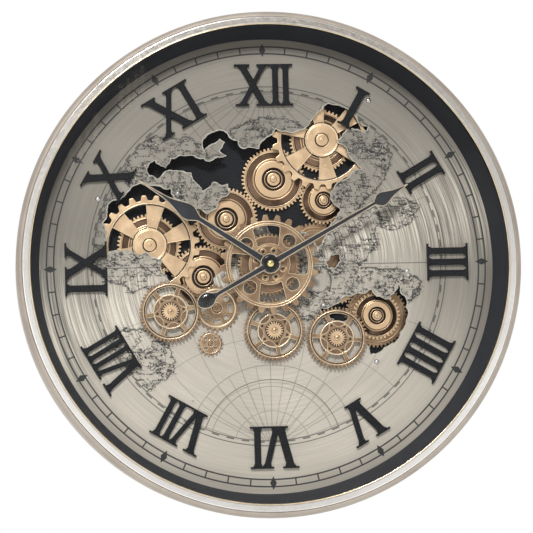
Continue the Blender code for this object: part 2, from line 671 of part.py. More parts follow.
def build_spoked(name, wheel, spokes_at):
    """A coarse wheel of six tapered spokes in front of a bowl wheel, on a thick hub with a raised edge."""
    rim = SPOKE_ROOT_RADIUS - SPOKE_RIM_WIDTH
    outline = teeth_outline(SPOKE_TEETH, SPOKE_ROOT_RADIUS, SPOKE_TIP_RADIUS, COARSE_TIP_SHARE, COARSE_ROOT_SHARE, spokes_at)
    windows = spoke_windows(SPOKE_COUNT, SPOKE_HUB_RADIUS * 0.9, rim, SPOKE_ANGLE, spokes_at, SPOKE_ANGLE)
    disc = plate(name, [outline, *windows], spoke_bottom, spoke_top, wheel.place, "brass")
    hub = SPOKE_HUB_RADIUS
    edge = hub * 0.9
    combine(disc, turned(f"{name}_hub", [
        (0, spoke_hub_top), (edge, spoke_hub_top), (hub, spoke_hub_top - SPOKE_HUB_RISE * 0.5),
        (hub, spoke_bottom - SPOKE_HUB_STANDOFF * 0.5), (edge, spoke_hub_bottom), (0, spoke_hub_bottom),
    ], BOWL_STEPS, wheel.place), "UNION")
    bored(disc, post_bore, spoke_hub_bottom, spoke_hub_top, wheel.place)


def build_train():
    for name in ("top", "upper_left", "lower_left", "left", "right", "small"):
        build_bowl(f"{name}_bowl_wheel", train[name])
    build_flat("hidden_wheel", train["hidden"])
    for name, spokes_at in (("left", LEFT_SPOKES_AT), ("right", RIGHT_SPOKES_AT)):
        build_spoked(f"{name}_spoked_wheel", train[name], spokes_at)
        build_post(f"{name}_post", train[name], spoke_hub_top + REST_GAP, POST_CAP_RADIUS)
    for name in ("top", "upper_left", "lower_left", "small", "hidden"):
        build_post(f"{name}_post", train[name], bowl_top + REST_GAP, POST_HEAD_RADIUS)
    corner = train["lower_right"]
    rim = fine_outline(corner.teeth, corner.phase)
    plate("lower_right_wheel", [rim, circle(post_bore)], wheel_bottom, wheel_top, corner.place, "brass")
    build_bowl("lower_right_bowl_wheel", Wheel(SMALL_TEETH, corner.place, 0), wheel_top + REST_GAP)
    build_post("lower_right_post", corner, bowl_top + WHEEL_THICKNESS + 2 * REST_GAP, POST_HEAD_RADIUS)


def build_motor():
    pinion = train["motor_pinion"]
    x, y = pinion.place
    box = build_box("motor_box", MOTOR_LENGTH, MOTOR_HEIGHT, (x, y), "motor_cell")
    bored(box, MOTOR_SHAFT_RADIUS + RUN_GAP, box_top - MOTOR_SHAFT_SEAT + BORE_OVERRUN, box_top, pinion.place)
    wheel = plate("motor_pinion", [fine_outline(pinion.teeth, pinion.phase)], wheel_bottom, wheel_top, pinion.place,
                  "brass")
    shaft = drum(MOTOR_SHAFT_RADIUS, box_top - MOTOR_SHAFT_SEAT + REST_GAP, wheel_bottom + HELPER_OVERLAP)
    combine(wheel, turned("motor_shaft", shaft, POST_STEPS, pinion.place), "UNION")
    half_travel, half_length = SWITCH_TRAVEL / 2 + RUN_GAP, SWITCH_LENGTH / 2
    switch = (x, y + MOTOR_HEIGHT / 4)
    half_width = SWITCH_WIDTH / 2
    slot_x, slot_y = half_length + half_travel, half_width + RUN_GAP
    slot = [(-slot_x, -slot_y), (slot_x, -slot_y), (slot_x, slot_y), (-slot_x, slot_y)]
    pocket = plate("switch_slot", [slot], box_bottom - BORE_OVERRUN, box_bottom + SWITCH_SEAT + REST_GAP, switch)
    combine(box, pocket, "DIFFERENCE")
    tab = [(-half_length, -half_width), (half_length, -half_width), (half_length, half_width), (-half_length, half_width)]
    slider = plate("switch_slider", [tab], box_bottom - SWITCH_STAND, box_bottom + SWITCH_SEAT, switch, "white_plastic")
    slider.location.x -= SWITCH_TRAVEL / 2


def build_centre_wheels():
    """The fixed pair under the hands: a fine wheel on a boss that stands on the dial, and a pierced coarse wheel."""
    boss_bore = bush_outer + RUN_GAP
    tip = pitch_radius(CENTRE_FINE_TEETH) + ADDENDUM * MODULE
    root = pitch_radius(CENTRE_FINE_TEETH) - DEDENDUM * MODULE
    fine = plate("centre_fine_wheel", [teeth_outline(CENTRE_FINE_TEETH, root, tip, 0, 0, 0)],
                 centre_fine_bottom, centre_fine_top, material="brass")
    boss = drum(CENTRE_BOSS_RADIUS, seat, centre_bottom - REST_GAP)
    combine(fine, turned("centre_boss", boss, BOWL_STEPS), "UNION")
    bored(fine, boss_bore, seat, centre_bottom, (0, 0), ROUND_STEPS)
    quarter = math.pi / 2
    outlines = [teeth_outline(CENTRE_TEETH, CENTRE_ROOT_RADIUS, CENTRE_TIP_RADIUS, COARSE_TIP_SHARE,
                              COARSE_ROOT_SHARE, CENTRE_WINDOWS_AT)]
    outlines.append(circle(boss_bore, steps=ROUND_STEPS))
    for i in range(4):
        middle = CENTRE_WINDOWS_AT + i * quarter
        angle = CENTRE_WINDOW_ANGLE
        outlines.append(sector(CENTRE_WINDOW_INNER, CENTRE_WINDOW_OUTER, middle, angle, angle))
        outlines.append(circle(CENTRE_HOLE_RADIUS, polar(CENTRE_HOLE_CIRCLE, middle + quarter / 2), ROUND_STEPS))
    plate("centre_coarse_wheel", outlines, centre_bottom, centre_top, material="brass")


def build_ribbed(name, x, y, spokes_at):
    """A fixed six-spoked wheel on a foot that stands on the dial, with a star plate and a small boss in front."""
    place = set_out([(x, y)])[0]
    low, angle = seat + RIBBED_STANDOFF, math.radians(spokes_at)
    high = low + RIBBED_THICKNESS
    outline = teeth_outline(RIBBED_TEETH, RIBBED_ROOT_RADIUS, RIBBED_TIP_RADIUS, 0, 0, angle)
    rim = RIBBED_ROOT_RADIUS - RIBBED_RIM_WIDTH
    ribs = RIBBED_SPOKE_ANGLE
    windows = spoke_windows(RIBBED_SPOKES, RIBBED_HUB_RADIUS, rim, ribs, angle, ribs * 1.5)
    disc = plate(name, [outline, *windows], low, high, place, "brass")
    waist, point = RIBBED_STAR_WAIST, RIBBED_STAR_POINT
    bends = (point, (point + waist) / 2, waist, (point + waist) / 2)
    star = [polar(bends[i % 4], angle + i * math.pi / 12) for i in range(4 * RIBBED_SPOKES)]
    star_top = high + RIBBED_STAR_RISE
    combine(disc, plate(f"{name}_star", [star], high - HELPER_OVERLAP, star_top, place), "UNION")
    boss = high + RIBBED_BOSS_RISE
    combine(disc, turned(f"{name}_hub", [
        (0, boss), (RIBBED_BOSS_RADIUS * 0.5, boss), (RIBBED_BOSS_RADIUS, boss - RIBBED_BOSS_RISE * 0.4),
        (RIBBED_BOSS_RADIUS, high - HELPER_OVERLAP), (RIBBED_FOOT_RADIUS, low + HELPER_OVERLAP),
        (RIBBED_FOOT_RADIUS, seat), (0, seat),
    ], POST_STEPS, place), "UNION")


def build_flat_wheel(name, teeth, root, tip, hub, place, holes):
    """A thin fixed wheel on the dial with round holes and a hub."""
    top = seat + FLAT_WHEEL_THICKNESS
    outline = teeth_outline(teeth, root, tip, 0, 0, 0)
    disc = plate(name, [outline, *holes], seat, top, place, "brass")
    boss = drum(hub, top - HELPER_OVERLAP, top + FLAT_WHEEL_HUB_RISE)
    combine(disc, turned(f"{name}_hub", boss, POST_STEPS, place), "UNION")


def build_front_wheels():
    build_centre_wheels()
    for wheel in RIBBED_WHEELS:
        build_ribbed(*wheel)
    quarter = math.pi / 2
    circle_radius = (PIERCED_ROOT_RADIUS + PIERCED_HUB_RADIUS) / 2
    holes = [circle(PIERCED_HUB_RADIUS * 0.55, polar(circle_radius, quarter * (i + 0.5))) for i in range(4)]
    inner, outer = circle_radius - PIERCED_HUB_RADIUS * 0.4, circle_radius + PIERCED_HUB_RADIUS * 0.4
    holes += [sector(inner, outer, quarter * i, quarter * 0.4, quarter * 0.4) for i in range(4)]
    build_flat_wheel("pierced_wheel", PIERCED_TEETH, PIERCED_ROOT_RADIUS, PIERCED_TIP_RADIUS, PIERCED_HUB_RADIUS,
                     set_out([PIERCED_PLACE])[0], holes)
    circle_radius = (LITTLE_ROOT_RADIUS + LITTLE_HUB_RADIUS) / 2
    holes = [circle(LITTLE_HUB_RADIUS * 0.5, polar(circle_radius, quarter * i + 0.3), 6) for i in range(4)]
    build_flat_wheel("little_wheel", LITTLE_TEETH, LITTLE_ROOT_RADIUS, LITTLE_TIP_RADIUS, LITTLE_HUB_RADIUS,
                     set_out([LITTLE_PLACE])[0], holes)


def merged(spans):
    """(low, high) spans, joined where they overlap or nearly meet."""
    joined = []
    for low, high in sorted(spans):
        if joined and low <= joined[-1][1] + SERIF_JOIN:
            joined[-1] = (joined[-1][0], max(high, joined[-1][1]))
        else:
            joined.append((low, high))
    return joined


def numeral_strokes(text, stretch):
    """The strokes of a numeral as (x at the foot, x at the head, width), centred on x = 0."""
    strokes = []
    x = -sum(LETTER_ADVANCE[letter] for letter in text) / 2
    for letter in text:
        middle = x + LETTER_ADVANCE[letter] / 2
        left, right = middle - ARM_SPREAD, middle + ARM_SPREAD
        if letter == "I":
            strokes.append((middle, middle, STROKE_WIDTH))
        elif letter == "V":
            strokes.append((middle - APEX_SPREAD, left, SLANT_WIDTH))
            strokes.append((middle + APEX_SPREAD, right, HAIRLINE_WIDTH))
        else:
            strokes += [(right, left, SLANT_WIDTH), (left, right, HAIRLINE_WIDTH)]
        x += LETTER_ADVANCE[letter]
    return [tuple(value * stretch for value in stroke) for stroke in strokes]


def stroke_outline(foot, head, width, reach):
    """A stroke from foot to head, which widens at both ends into the brackets of its serifs."""
    side = []
    for height, flare in ((-reach, BRACKET_REACH), (BRACKET_HEIGHT - reach, 0), (reach - BRACKET_HEIGHT, 0),
                          (reach, BRACKET_REACH)):
        middle = foot + (head - foot) * (height + reach) / (2 * reach)
        side.append((middle, width / 2 + flare, height))
    right = [(middle + half, height) for middle, half, height in side]
    left = [(middle - half, height) for middle, half, height in side]
    return right + left[::-1]


def build_numeral(hour, text, stretch):
    """One numeral cut from sheet, read from the dial's centre: its strokes joined by thin serifs at foot and head."""
    top, half = seat + NUMERAL_THICKNESS, NUMERAL_HEIGHT / 2
    reach = half - SERIF_HEIGHT / 2
    strokes = numeral_strokes(text, stretch)
    bars = []
    for end, y in ((0, -half), (1, half - SERIF_HEIGHT)):
        spans = [(s[end] - s[2] / 2 - SERIF_REACH, s[end] + s[2] / 2 + SERIF_REACH) for s in strokes]
        bars += [[(a, y), (b, y), (b, y + SERIF_HEIGHT), (a, y + SERIF_HEIGHT)] for a, b in merged(spans)]
    bars += [stroke_outline(*stroke, reach) for stroke in strokes]
    radius = lip_radius - NUMERAL_INSET - half
    angle = math.pi / 2 - hour * math.pi / 6
    place = polar(radius, angle)
    name = f"numeral_{hour:02d}"
    body = plate(name, [bars[0]], seat, top, place, "black")
    body.rotation_euler.z = angle - math.pi / 2
    for number, bar in enumerate(bars[1:], 1):
        stroke = plate(f"{name}_stroke_{number}", [bar], seat, top, place)
        stroke.rotation_euler.z = angle - math.pi / 2
        combine(body, stroke, "UNION")


def smooth_round_pieces():
    """Shades the plain meshes smooth, with a sharp edge wherever two faces meet at more than 30 degrees."""
    for piece in parts.objects:
        if piece.data.polygons:
            piece.data.shade_smooth()
            piece.data.set_sharp_from_angle(angle=math.radians(30))


for old in list(bpy.data.objects):
    bpy.data.objects.remove(old)
bpy.context.scene.collection.children.link(parts)
bpy.context.scene.collection.children.link(cutters)
axis = bpy.data.objects.new("dial_axis", None)
parts.objects.link(axis)
axis.location = (0, 0, -hanger_height)
axis.rotation_euler.x = math.pi / 2
train = lay_out_train()
build_case()
build_panel()
build_dial()
build_hanger()
build_movement()
build_hands()
build_motor()
build_train()
build_front_wheels()
for hour, (text, stretch) in enumerate(NUMERALS, 1):
    build_numeral(hour, text, stretch)
parts.objects.unlink(axis)
bpy.context.scene.collection.objects.link(axis)
smooth_round_pieces()
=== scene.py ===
"""Looks of the gear wall clock: smooth case, printed map dial, brass gears with cut teeth, hands and glass.

Pieces are shaped in dial coordinates, x to the right, y up and z out of the wall from the dial's axis, and
then turned into the row's frame, where the dial faces -Y. Sizes are in millimetres.
"""

import functools
import json
import math

import bmesh
import bpy
from mathutils import Matrix, Quaternion, Vector


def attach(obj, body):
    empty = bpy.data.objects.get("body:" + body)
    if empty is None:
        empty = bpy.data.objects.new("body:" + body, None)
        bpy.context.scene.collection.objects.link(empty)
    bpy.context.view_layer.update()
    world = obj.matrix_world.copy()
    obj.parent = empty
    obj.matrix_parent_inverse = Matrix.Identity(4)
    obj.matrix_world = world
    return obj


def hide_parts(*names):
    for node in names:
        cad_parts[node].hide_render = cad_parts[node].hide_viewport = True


MM = 0.001
MM_PER_METRE = 1000
TURN = 2 * math.pi
QUARTER = TURN / 4

# Shaping: steps round the case, and the turns past which an edge is broken, stays sharp or is rounded
CASE_STEPS = 180
BROKEN_EDGE = math.radians(28)
SHARP_EDGE = math.radians(32)
SHARP_CORNER = math.radians(40)
HAND_CORNER = math.radians(60)

# Points nearer than these, in metres, become one: in a plate or a toothed wheel, and in a turned piece
WELD = 0.000001
TURNED_WELD = 0.00001

# Finishes: how far a grain moves the roughness, and how much finer it is than the colour's pattern
GRAIN = 0.05
GRAIN_FINENESS = 14

# Case
CASE_RADIUS = 300.0
CASE_WALL = 3.0
LEDGE_RADIUS = 262.0
LEDGE_BOTTOM = 18.8
LEDGE_TOP = 20.5
LIP_RADIUS = 283.0
WALL_FOOT_RADIUS = 272.3
WALL_THICKNESS = 2.0
GLASS_RADIUS = 287.0

# Print on the dial. A line is its width and that of its soft edge, a land its middle, size and weight.
TRACK_OUTER = 263.5
TRACK_INNER = 255.1
BORDER_OUTER = 215.0
BORDER_INNER = 209.0
POLE_AT = 220.0
POLE_CIRCLES = ((46.4, 0.4), (75.3, 0.5), (83.6, 0.85), (101.0, 0.5))
POLE_FAN = 101.0
TRACK_LINE = (1.3, 0.5)
BOLD_LINE = (1.2, 0.5)
FINE_LINE = (0.6, 0.6)
HAIRLINE = (0.5, 0.5)
INK = (0.022, 0.023, 0.026, 1)
DASH_ROWS = 6.5
LANDS = (
    (-150, 8, 62, 42, 0.85), (-118, 118, 62, 46, 1.0), (-58, 96, 54, 42, 1.0), (78, 44, 66, 62, 1.0),
    (112, 128, 46, 52, 0.95), (-158, -110, 52, 44, 0.8), (128, -30, 62, 30, 0.9), (10, 158, 60, 24, 0.7),
    (145, 62, 45, 26, 0.75), (-196, 60, 28, 60, 0.55), (60, -50, 40, 24, 0.6), (-40, 40, 60, 50, 0.8),
)
SCREWS = ((-201, 83), (-106, 88), (127, 197), (168, -10), (128, -118), (66, -49))
CENTRE_HOLE_LIMIT = 12.0

# Gears. The spokes' angles are in degrees.
FINE_MODULE = 1.56
FINE_TEETH = 48
SMALL_TEETH = 36
COARSE_TEETH = 24
PINION_TEETH = 20
FINE_PITCH = FINE_MODULE * FINE_TEETH / 2
FINE_DISC = 3.0
COARSE_SHAPE = {"edge": 0.5, "tip_share": 0.32, "root_share": 0.38, "samples": 14}
SPOKES_AT = {"left_spoked_wheel": 20.5, "right_spoked_wheel": 37.5}
RIBS_AT = {
    "lower_left_ribbed_wheel": 9.5,
    "lower_middle_ribbed_wheel": 39.5,
    "lower_right_ribbed_wheel": -6.5,
}
CENTRE_WINDOWS_AT = math.radians(3.5)

# Hands
TAIL_AT = 87.0
TAIL_DIRECTION = math.radians(28.8) + TURN / 2

# Camera, in metres from the middle of the rim's front edge
RIM_FRONT = -0.0785
CAMERA_OFFSET = Vector((-0.3157, -3.0, -0.2171))
CAMERA_AIM = Vector((-0.0054, 0, -0.0039))
CAMERA_ROLL = math.radians(-1.5)
CAMERA_LENS = 173.0

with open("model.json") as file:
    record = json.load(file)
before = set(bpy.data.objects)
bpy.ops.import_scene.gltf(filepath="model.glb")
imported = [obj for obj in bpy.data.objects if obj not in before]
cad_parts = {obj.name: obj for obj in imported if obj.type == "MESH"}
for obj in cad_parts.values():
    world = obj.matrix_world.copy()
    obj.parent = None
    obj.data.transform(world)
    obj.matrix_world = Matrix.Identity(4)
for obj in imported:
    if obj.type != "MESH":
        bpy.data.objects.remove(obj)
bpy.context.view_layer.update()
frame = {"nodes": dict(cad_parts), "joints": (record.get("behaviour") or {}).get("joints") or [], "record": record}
scene = bpy.context.scene
AXIS = Vector(next(joint for joint in frame["joints"] if joint["name"] == "minute_spin")["pos_m"])
DIAL = Matrix.Translation((0, 0, AXIS.z)) @ Matrix.Rotation(math.pi / 2, 4, "X")


class Graph:
    """Adds nodes to a node tree. Inputs go by socket name or number, as values or as terms."""

    def __init__(self, tree):
        self.tree = tree

    def add(self, kind, inputs=None, output=0, **settings):
        node = self.tree.nodes.new(kind)
        for key, value in settings.items():
            setattr(node, key, value)
        for key, value in (inputs or {}).items():
            if isinstance(value, Term):
                self.tree.links.new(value.socket, node.inputs[key])
            else:
                node.inputs[key].default_value = value
        return Term(self, node.outputs[output]) if node.outputs else None


class Term:
    """A node's output that takes part in arithmetic."""

    def __init__(self, graph, socket):
        self.graph = graph
        self.socket = socket

    def output(self, key):
        return Term(self.graph, self.socket.node.outputs[key])

    def math(self, operation, *others):
        return self.graph.add("ShaderNodeMath", dict(enumerate((self, *others))), operation=operation)

    def __add__(self, other):
        return self.math("ADD", other)

    __radd__ = __add__

    def __mul__(self, other):
        return self.math("MULTIPLY", other)

    __rmul__ = __mul__

    def __sub__(self, other):
        return self.math("SUBTRACT", other)

    def __rsub__(self, other):
        return self * -1 + other

    def __truediv__(self, other):
        return self.math("DIVIDE", other)

    def __rtruediv__(self, other):
        return self.math("POWER", -1) * other

    def __pow__(self, other):
        return self.math("POWER", other)

    def __abs__(self):
        return self.math("ABSOLUTE")

    def fade(self, start, end, low=0.0, high=1.0):
        """Runs smoothly from low at start to high at end."""
        inputs = {"Value": self, "From Min": start, "From Max": end, "To Min": low, "To Max": high}
        return self.graph.add("ShaderNodeMapRange", inputs, interpolation_type="SMOOTHSTEP")

    def line(self, width, edge):
        """1 where the value is within half the width of 0, fading out over the edge."""
        return abs(self).fade(width / 2, width / 2 + edge, 1.0, 0.0)

    def repeat(self, pitch):
        """The distance from the nearest multiple of the pitch."""
        return (self + pitch / 2).math("FLOORED_MODULO", pitch) - pitch / 2


def material(name, roughness, metallic):
    """A new material, its graph and its Principled shader node."""
    made = bpy.data.materials.new(name)
    made.use_nodes = True
    shader = made.node_tree.nodes["Principled BSDF"]
    shader.inputs["Roughness"].default_value = roughness
    shader.inputs["Metallic"].default_value = metallic
    return made, Graph(made.node_tree), shader


def set_input(graph, node, name, value):
    graph.tree.links.new(value.socket, node.inputs[name])


def mixed(graph, share, first, second):
    """A colour between two, each a colour or a term."""
    inputs = {"Factor": share, 6: first, 7: second}
    return graph.add("ShaderNodeMix", inputs, output=2, data_type="RGBA")


def noise(graph, vector, scale, detail=4.0, roughness=0.55):
    inputs = {"Vector": vector, "Scale": scale, "Detail": detail, "Roughness": roughness}
    return graph.add("ShaderNodeTexNoise", inputs)


def bump(graph, shader, height, strength, distance):
    inputs = {"Strength": strength, "Distance": distance, "Height": height}
    set_input(graph, shader, "Normal", graph.add("ShaderNodeBump", inputs))


def speckled(name, colour, shade, roughness, metallic, scale=60.0, specular=0.5):
    """A finish whose colour wanders between two and whose surface has a fine grain."""
    made, graph, shader = material(name, roughness, metallic)
    shader.inputs["Specular IOR Level"].default_value = specular
    place = graph.add("ShaderNodeTexCoord", output="Object")
    wander = noise(graph, place, scale)
    set_input(graph, shader, "Base Color", mixed(graph, wander.fade(0.35, 0.7), (*colour, 1), (*shade, 1)))
    grain = noise(graph, place, scale * GRAIN_FINENESS, 2.0)
    set_input(graph, shader, "Roughness", grain.fade(0.2, 0.8, roughness - GRAIN, roughness + GRAIN))
    return made


def three_tone(name, face, slope, side, roughness, metallic=1.0, wear=0.3):
    """A metal with one colour on its worn flat faces, one painted on slopes and broken edges (a highlight in most
    finishes, shade in the brass) and a painted shade on sides.
    """
    made, graph, shader = material(name, roughness, metallic)
    place = graph.add("ShaderNodeTexCoord", output="Object")
    facing = abs(graph.add("ShaderNodeSeparateXYZ", {"Vector": place.output("Normal")}, output="Y"))
    wander = noise(graph, place, 60.0, 3.0)
    flat = facing.fade(0.88, 0.985) * wander.fade(0.3, 0.75, 1.0, 1.0 - wear)
    # Painted light by tilt: slopes and broken edges take the slope colour, and sides take a darker painted shade.
    painted_light_by_tilt = mixed(graph, facing.fade(0.2, 0.5), (*side, 1), (*slope, 1))
    set_input(graph, shader, "Base Color", mixed(graph, flat, painted_light_by_tilt, (*face, 1)))
    set_input(graph, shader, "Roughness", wander.fade(0.3, 0.7, roughness - 0.04, roughness + 0.06))
    return made


def spread(first, second):
    """A vector from two terms, for a pattern that lies flat."""
    return first.graph.add("ShaderNodeCombineXYZ", {"X": first, "Y": second})


def distance(first, second):
    return (first * first + second * second).math("SQRT")


def largest(terms):
    return functools.reduce(lambda first, second: first.math("MAXIMUM", second), terms)


def track_marks(r, angle):
    """The minute track with a spindle at each hour, and the map's border with its dashes."""
    marks = [(r - radius).line(*TRACK_LINE) * 0.95 for radius in (TRACK_OUTER, TRACK_INNER)]
    in_track = r.fade(TRACK_INNER - 0.3, TRACK_INNER) * r.fade(TRACK_OUTER, TRACK_OUTER + 0.3, 1.0, 0.0)
    marks.append((angle.repeat(TURN / 60) * r).line(*BOLD_LINE) * in_track * 0.95)
    spindle_x = abs(angle.repeat(TURN / 12) * r)
    spindle_r = abs(r - (TRACK_INNER + TRACK_OUTER) / 2)
    marks.append((spindle_x * 2.0 + spindle_r).fade(7.6, 8.6, 1.0, 0.0))
    marks += [(r - radius).line(*FINE_LINE) * 0.7 for radius in (BORDER_INNER, BORDER_OUTER)]
    dashes = angle.repeat(TURN / 72).fade(-0.002, 0.002)
    marks.append((r - BORDER_INNER - 1.6).line(*BOLD_LINE) * dashes * 0.75)
    return marks


def graticule_marks(x, y):
    """The map's net: two straight lines, circles and fans about the poles, and bowed lines."""
    marks = [y.line(*FINE_LINE) * 0.6, x.line(*HAIRLINE) * 0.4]
    for side in (-1, 1):
        down = y - side * POLE_AT
        reach = distance(x, down)
        around = down.math("ARCTAN2", x)
        for radius, strength in POLE_CIRCLES:
            marks.append((reach - radius).line(*HAIRLINE) * strength * 0.8)
        in_fan = reach.fade(POLE_FAN, POLE_FAN + 1, 1.0, 0.0)
        marks.append((around.repeat(TURN / 36) * reach).line(*HAIRLINE) * in_fan * 0.32)
    for share in (0.25, 0.5, 0.75):
        bow = BORDER_INNER * (1 - share * share) / (2 * share)
        swing = math.hypot(bow, BORDER_INNER)
        slant = share * math.pi / 2
        for side in (-1, 1):
            upright = distance(x + side * bow, y) - swing
            level = distance(x, y - side * BORDER_INNER / math.sin(slant)) - BORDER_INNER / math.tan(slant)
            marks += [upright.line(*HAIRLINE) * 0.3, level.line(*HAIRLINE) * 0.3]
    return marks


def land_marks(x, y):
    """The engraved lands' ink, and the glints in it."""
    graph = x.graph
    flat = spread(x, y)
    blobs = []
    for centre_x, centre_y, width, height, weight in LANDS:
        across = (x - centre_x) / width
        up = (y - centre_y) / height
        blobs.append((across * across + up * up).fade(0.1, 1.3, weight, 0.0))
    outline = largest(blobs) + (noise(graph, flat, 0.035, 9.0, 0.62) - 0.5) * 1.5
    land = outline.fade(0.40, 0.46)
    coast_line = (outline - 0.42).line(0.03, 0.02)
    beach = outline.fade(0.26, 0.4) * outline.fade(0.41, 0.44, 1.0, 0.0)
    ripples = (y + outline * 6.0).repeat(2.2).line(0.7, 0.5) * beach
    shore = outline.fade(0.42, 0.46) * outline.fade(0.46, 0.62, 1.0, 0.0)
    dense = noise(graph, flat, 0.04, 5.0, 0.6).fade(0.46, 0.6)
    ridges = abs(noise(graph, flat, 0.045, 5.0, 0.6) - 0.5).fade(0.005, 0.015, 1.0, 0.0)
    strokes = noise(graph, spread(x * 0.35, y), 0.3, 2.0, 0.6).fade(0.55, 0.6) * largest([shore, dense])
    specks = noise(graph, flat, 0.26, 4.0, 0.7).fade(0.5, 0.56) * dense
    row = y.math("SNAP", DASH_ROWS)
    in_group = noise(graph, spread(x * 0.35, row * 3.1), 0.16, 1.0).fade(0.53, 0.56)
    in_dash = noise(graph, spread(x, row), 0.75, 1.0).fade(0.42, 0.5)
    dashes = (y - row - 3.2).line(*BOLD_LINE) * in_dash * in_group * outline.fade(0.2, 0.34)
    texture = largest([ridges, strokes * 0.95, specks, dense * 0.12]) * land
    glints = noise(graph, spread(x + 500.0, y), 0.24, 2.0, 0.6).fade(0.62, 0.68) * land * dense
    return largest([coast_line * 0.95, ripples * 0.5, dashes * 0.8, texture]), glints


def dial_finish():
    """Silver brushed in circles, with the track and the map printed on, and painted light: shade towards the top,
    at the sides and at the rim, and a sheen in two wedges.
    """
    made, graph, shader = material("dial", 0.42, 0.3)
    place = graph.add("ShaderNodeTexCoord", output="Object")
    parts = graph.add("ShaderNodeSeparateXYZ", {"Vector": place})
    x = parts * MM_PER_METRE
    y = (parts.output("Z") - AXIS.z) * MM_PER_METRE
    r = distance(x, y)
    angle = y.math("ARCTAN2", x)
    in_map = r.fade(BORDER_INNER - 0.5, BORDER_INNER, 1.0, 0.0)
    land_ink, glints = land_marks(x, y)
    glints = glints * in_map
    map_ink = largest([*graticule_marks(x, y), land_ink]) * in_map
    ink = largest([*track_marks(r, angle), map_ink]) * (1 - glints * 0.9)

    brush = noise(graph, spread(r * 0.5, angle * 1.6), 1.0, 5.0, 0.7)
    wander = noise(graph, spread(x, y), 0.006, 2.0)
    # Painted sheen: two bright opposite wedges, where brushed silver catches the light.
    painted_sheen = abs((angle - math.radians(16)).math("COSINE")) ** 32
    # Painted shade at the right and the left, towards the rim.
    sides = abs((angle - math.radians(-4)).math("COSINE")) ** 8 * r.fade(165.0, 215.0)
    # Painted shade: darker towards the top, and darker still next to the wall at the rim.
    tone_with_painted_light = y.fade(200.0, -200.0, 0.37, 0.83) * (1 - sides * 0.42) * r.fade(240.0, 266.0, 1.0, 0.72)
    tone_with_painted_light = tone_with_painted_light + painted_sheen * brush.fade(0.35, 0.65, -0.1, 0.55)
    # The glints add a painted highlight.
    tone_with_painted_light = tone_with_painted_light * brush.fade(0.2, 0.8, 0.88, 1.12) * wander.fade(0.3, 0.7, 0.92, 1.08) + glints * 0.4
    silver = graph.add("ShaderNodeCombineColor", {"Red": tone_with_painted_light, "Green": tone_with_painted_light * 0.907, "Blue": tone_with_painted_light * 0.79})
    set_input(graph, shader, "Base Color", mixed(graph, ink, silver, INK))
    set_input(graph, shader, "Metallic", ink.fade(0.0, 1.0, 0.3, 0.0))
    set_input(graph, shader, "Roughness", brush.fade(0.2, 0.8, 0.36, 0.5))
    bump(graph, shader, brush, 0.06, 0.0003)
    return made


def glass_finish():
    """Clear glass: light passes straight through, and the outer faces mirror a little."""
    made = bpy.data.materials.new("clear_glass")
    made.use_nodes = True
    tree = made.node_tree
    tree.nodes.clear()
    graph = Graph(tree)
    through = graph.add("ShaderNodeBsdfTransparent", {"Color": (0.985, 0.99, 0.985, 1)})
    mirror = graph.add("ShaderNodeBsdfGlossy", {"Color": (1, 1, 1, 1), "Roughness": 0.02})
    facing = graph.add("ShaderNodeFresnel", {"IOR": 1.4})
    inside = graph.add("ShaderNodeNewGeometry", output="Backfacing")
    both = graph.add("ShaderNodeMixShader", {0: facing * (1 - inside) * 0.4, 1: through, 2: mirror})
    graph.add("ShaderNodeOutputMaterial", {"Surface": both})
    return made


